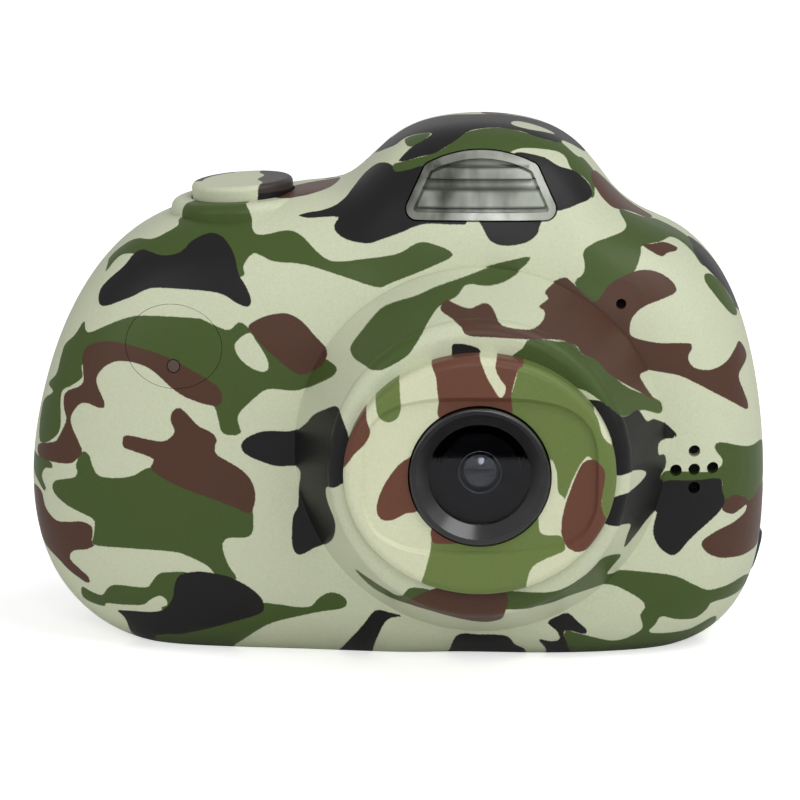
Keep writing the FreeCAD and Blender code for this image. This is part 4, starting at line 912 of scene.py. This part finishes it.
class TOYCAM_OT_lens(bpy.types.Operator):
    """Finish the lens, from its gloss bezel back to its sensor, and the rear camera."""

    bl_idname = "toycam.lens"
    bl_label = "Lens"

    def execute(self, context):
        dress(polished("bezel_gloss", (.005, .005, .0055), .21, .06, Specular_IOR_Level=.7), "lens_bezel")
        dress(polished("window_clear", (.62, .64, .70), .01, .02, Transmission_Weight=1.0, IOR=1.28),
              "lens_window")
        barrel, _, _ = surface("barrel_matt", (.003, .003, .0035), .7, Specular_IOR_Level=.08)
        dress(barrel, "lens_barrel", "lens_holder", "sensor_board")
        eye_highlight_ring()
        dress(polished("element_glass", (.12, .12, .12), .03, .02, Transmission_Weight=.8, IOR=1.6,
                       Coat_Weight=1.0), "front_lens_element")
        dress(polished("sensor_chip", (.03, .035, .06), .15, .05), "image_sensor")
        dress(moulded("camera_module", (.02, .02, .021), .45, 5.0, .006), "selfie_camera")
        return {"FINISHED"}


def eye_highlight_ring():
    """Thin bright ring round the eye of the barrel, a painted highlight that stands in for the light caught
    on the eye's edge: a torus about the lens axis. One angle goes round the axis at EYE_RING_R, the other
    round the wire at EYE_RING_WIRE."""
    low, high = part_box("lens_barrel")
    centre = ((low.x + high.x) / 2, low.y, (low.z + high.z) / 2)
    turn, roll = np.meshgrid(np.linspace(0, 2 * np.pi, EYE_RING_STEPS, endpoint=False),
                             np.linspace(0, 2 * np.pi, EYE_RING_SIDES, endpoint=False), indexing="ij")
    radius = EYE_RING_R + EYE_RING_WIRE * np.cos(roll)
    ring = np.stack([radius * np.cos(turn), EYE_RING_WIRE * np.sin(roll), radius * np.sin(turn)], -1)
    index = np.arange(turn.size).reshape(turn.shape)
    ahead, above = np.roll(index, -1, 0), np.roll(index, -1, 1)
    quads = np.stack([index, ahead, np.roll(ahead, -1, 1), above], -1).reshape(-1, 4)
    mesh = bpy.data.meshes.new("eye_highlight_ring")
    mesh.from_pydata((ring + centre).reshape(-1, 3), [], quads.tolist())
    mesh.shade_smooth()
    # Grey metal ring: a painted highlight on the edge of the barrel's eye
    mesh.materials.append(polished("eye_highlight_ring_grey", (.2, .2, .21), .25, .05, Metallic=.8))
    ride_with(added("eye_highlight_ring", mesh), "lens_barrel")


class TOYCAM_OT_flash(bpy.types.Operator):
    """Finish the flash: smoky window, bright reflector, phosphor lamp."""

    bl_idname = "toycam.flash"
    bl_label = "Flash"

    def execute(self, context):
        dress(prism_plastic(), "flash_lens")
        dress(polished("reflector_bright", (.5, .51, .48), .2, .1, Metallic=1.0), "flash_reflector")
        dress(moulded("lamp_phosphor", (.55, .5, .3), .55, 8.0, .01), "flash_lamp")
        return {"FINISHED"}


class TOYCAM_OT_keys(bpy.types.Operator):
    """Print the marks on the eight rear keys."""

    bl_idname = "toycam.keys"
    bl_label = "Rear Keys"

    def execute(self, context):
        finish = marked_key_plastic()
        for node in sorted(n for n in frame["nodes"] if n.endswith("_button") and n != "shutter_button"):
            printed_copy(node, finish, SMALL_GRAIN, key_print(node))
        return {"FINISHED"}


def key_print(node):
    """Returns the distance function of one key's mark, which is on the part near its face."""
    low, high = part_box(node)
    middle = (low + high) / 2 / MM

    def distances(points):
        mark = key_mark(node[:-len("_button")], middle.x - points[:, 0], points[:, 2] - middle.z)
        facing = points[:, 1] > high.y / MM - MARK_DEPTH
        return {"mark": np.where(facing, mark, -REACH)}

    return distances


def key_mark(key, across, up):
    """Signed distance of a key's mark at places across and up from the key's middle: an arrow on each
    direction key, a triangle, a frame, a broken ring with a stroke, and a ring on the middle key."""
    flat = np.stack([across, up], 1)
    radius = np.hypot(across, up)
    if key in ARROWS:
        degrees, middle = ARROWS[key]
        turn = math.radians(degrees)
        side, tip = (math.cos(turn), math.sin(turn)), (-math.sin(turn), math.cos(turn))
        return layer_distance((flat - middle) @ np.array([side, tip]).T, (ARROW,), smooth=False)
    if key == "play":
        return layer_distance(flat, (PLAY_MARK,), smooth=False)
    if key == "mode":
        frame_mark = layer_distance(flat, (MODE_MARK,), smooth=False)
        return np.minimum(frame_mark, MODE_LINE - frame_mark)
    if key == "power":
        ring = POWER_LINE - np.abs(radius - POWER_RADIUS)
        gap = np.minimum(POWER_GAP - np.abs(across), up)
        stroke = np.minimum(POWER_LINE - np.abs(across), POWER_STROKE - np.abs(up - POWER_STROKE))
        return np.maximum(np.minimum(ring, -gap), stroke)
    return OK_LINE - np.abs(radius - OK_RADIUS)


class TOYCAM_OT_screen(bpy.types.Operator):
    """Finish the screen's window, the display behind it and the rear camera's window."""

    bl_idname = "toycam.screen"
    bl_label = "Screen"

    def execute(self, context):
        dress(polished("screen_cover", (.01, .0105, .012), .05, .05, Coat_Weight=.4, Coat_Roughness=.03),
              "screen_window", "selfie_window")
        dress(polished("display_dark", (.012, .014, .02), .2, .05), "lcd_panel")
        return {"FINISHED"}


class TOYCAM_OT_side(bpy.types.Operator):
    """Finish the rubber cover on the side, its tether and the memory card behind it."""

    bl_idname = "toycam.side"
    bl_label = "Side Cover and Card"

    def execute(self, context):
        dress(moulded("cover_rubber", (.012, .03, .03), .62, 2.4, .02, Sheen_Weight=.15), "port_cover",
              "cover_tether")
        dress(moulded("card_black", (.015, .015, .016), .5, 4.0, .01), "memory_card")
        return {"FINISHED"}


class TOYCAM_OT_works(bpy.types.Operator):
    """Finish the inner works: boards, flexes, sockets, switches, battery, speaker, lamp and screws."""

    bl_idname = "toycam.works"
    bl_label = "Inner Works"

    def execute(self, context):
        dress(tracked("board_green", (.012, .09, .035), (.03, .17, .07), (.75, .72, .66), 700.0),
              "main_board", "flash_board", "shutter_board")
        dress(tracked("flex_amber", (.45, .17, .02), (.6, .3, .07), (.8, .72, .5), 1100.0),
              "lcd_flex", "sensor_flex")
        dress(polished("plated_steel", (.56, .56, .57), .28, .14, Metallic=1.0),
              "card_socket", "usb_socket", "lcd_frame", "screws")
        dress(moulded("microphone_cloth", (.01, .01, .011), .8, 6.0, .03, Specular_IOR_Level=.1),
              "microphone")
        dress(moulded("switch_black", (.02, .02, .02), .5, 6.0, .008), "key_switches", "shutter_switch")
        dress(moulded("switch_red", (.42, .03, .02), .45, 6.0, .008),
              *sorted(n for n in frame["nodes"] if n.endswith("_plunger")))
        dress(polished("battery_foil", (.6, .61, .63), .3, .2, Metallic=.9), "battery")
        dress(moulded("foam_black", (.02, .02, .021), .9, 2.2, .12), "battery_pad", "speaker_gasket")
        dress(moulded("speaker_black", (.014, .014, .015), .42, 4.0, .01), "speaker")
        dress(polished("light_pipe", (.085, .05, .04), .32, .06, Transmission_Weight=.1, IOR=1.49),
              "indicator_light_pipe")
        dress(moulded("lamp_white", (.8, .8, .76), .4, 6.0, .006), "indicator_led")
        return {"FINISHED"}


class TOYCAM_OT_stage(bpy.types.Operator):
    """Set the floor, the soft lamps, the even light and the view."""

    bl_idname = "toycam.stage"
    bl_label = "Stage"

    def execute(self, context):
        scene, stage = context.scene, context.scene.toycam_stage
        floor_sheet()
        dark_card()
        white_world(scene, stage.ambient)
        for name, place, size, watts in LAMPS:
            data = bpy.data.lights.new(name, "AREA")
            data.shape, data.size, data.energy = "DISK", size, watts * stage.lamps
            lamp = added(name, data)
            lamp.location = place
            lamp.rotation_euler = (BODY_MIDDLE - Vector(place)).to_track_quat("-Z", "Y").to_euler()
        data = bpy.data.cameras.new("view")
        data.sensor_width, data.lens = SENSOR, SENSOR / 2 / math.tan(stage.angle / 2)
        data.clip_start, data.clip_end = VIEW_REACH
        view = added("view", data)
        away = Vector((math.sin(stage.azimuth) * math.cos(stage.elevation),
                       -math.cos(stage.azimuth) * math.cos(stage.elevation), math.sin(stage.elevation)))
        view.location = VIEW_TARGET + away * stage.distance
        view.rotation_euler = away.to_track_quat("Z", "Y").to_euler()
        scene.camera = view
        scene.view_settings.view_transform = "Standard"
        return {"FINISHED"}


def floor_sheet():
    """The floor is a flat disc: radius grows with the square of one parameter, the other turns once
    round."""
    radius = FLOOR_RADIUS * np.linspace(0, 1, FLOOR_RINGS + 1)[1:] ** 2
    turn = np.linspace(0, 2 * np.pi, FLOOR_SPOKES, endpoint=False)
    flat = radius[:, None, None] * np.stack([np.cos(turn), np.sin(turn), 0 * turn], -1)
    points = np.concatenate([[[0, 0, 0]], flat.reshape(-1, 3)])
    here = 1 + (np.arange(FLOOR_RINGS)[:, None] * FLOOR_SPOKES + np.arange(FLOOR_SPOKES))
    after = np.roll(here, -1, 1)
    quads = np.stack([here[:-1], here[1:], after[1:], after[:-1]], -1).reshape(-1, 4)
    middle = np.stack([np.zeros(FLOOR_SPOKES, int), here[0], after[0]], 1)
    mesh = bpy.data.meshes.new("floor")
    mesh.from_pydata(points, [], quads.tolist() + middle.tolist())
    material, shader, tree = surface("floor_white", (.93, .93, .93), .8, Specular_IOR_Level=.1)
    seen = wired(tree, "LightPath").outputs["Is Camera Ray"]
    set_up(tree, shader, {"Emission Color": (1, 1, 1, 1),
                          "Emission Strength": math_node(tree, "MULTIPLY", seen, FLOOR_GLOW)})
    mesh.materials.append(material)
    floor = added("floor", mesh)


def dark_card():
    """Level dark card that only polished and clear faces see: a flat oblong across CARD_X and along
    CARD_Y."""
    (left, right), (front, back) = CARD_X, CARD_Y
    corners = [(x, y, CARD_HEIGHT) for x, y in ((left, front), (right, front), (right, back), (left, back))]
    mesh = bpy.data.meshes.new("dark_card")
    mesh.from_pydata(corners, [], [(0, 1, 2, 3)])
    mesh.materials.append(surface("card_dark", (.004, .004, .004), .9, Specular_IOR_Level=0)[0])
    card = added("dark_card", mesh)
    card.visible_camera = card.visible_diffuse = card.visible_shadow = False


def white_world(scene, ambient):
    """Even light of the given strength, which the view and clear parts see as white, and polished parts
    partly."""
    world = bpy.data.worlds.new("studio")
    world.use_nodes = True
    tree = world.node_tree
    rays = wired(tree, "LightPath").outputs
    seen = math_node(tree, "MAXIMUM", rays["Is Camera Ray"], rays["Is Transmission Ray"])
    seen = math_node(tree, "MAXIMUM", seen, math_node(tree, "MULTIPLY", rays["Is Glossy Ray"], GLOSS_WHITE))
    strength = ranged(tree, seen, start=ambient)
    set_up(tree, tree.nodes["Background"], {"Color": (1, 1, 1, 1), "Strength": strength})
    scene.world = world


class TOYCAM_PT_panel(bpy.types.Panel):
    """Lists the steps that dress the camera, with their colours and stage settings."""

    bl_idname = "TOYCAM_PT_panel"
    bl_label = "Toy Camera"
    bl_space_type = "VIEW_3D"
    bl_region_type = "UI"
    bl_category = "Toy Camera"

    def draw(self, context):
        for settings in (context.scene.toycam_print, context.scene.toycam_stage):
            box = self.layout.box()
            for name in settings.__annotations__:
                box.prop(settings, name)
        for step in STEPS:
            self.layout.operator(step.bl_idname)


STEPS = (TOYCAM_OT_shells, TOYCAM_OT_shutter, TOYCAM_OT_lens_ring, TOYCAM_OT_lens, TOYCAM_OT_flash,
         TOYCAM_OT_keys, TOYCAM_OT_screen, TOYCAM_OT_side, TOYCAM_OT_works, TOYCAM_OT_stage)
CLASSES = (PrintColours, StageSettings, *STEPS, TOYCAM_PT_panel)


def register():
    """Adds the classes and the two groups of settings."""
    for cls in CLASSES:
        bpy.utils.register_class(cls)
    bpy.types.Scene.toycam_print = PointerProperty(type=PrintColours)
    bpy.types.Scene.toycam_stage = PointerProperty(type=StageSettings)


def unregister():
    """Takes them away again."""
    del bpy.types.Scene.toycam_print
    del bpy.types.Scene.toycam_stage
    for cls in reversed(CLASSES):
        bpy.utils.unregister_class(cls)


def main():
    """Runs every step."""
    register()
    for step in STEPS:
        family, name = step.bl_idname.split(".")
        getattr(getattr(bpy.ops, family), name)()


if __name__ == "__main__":
    main()
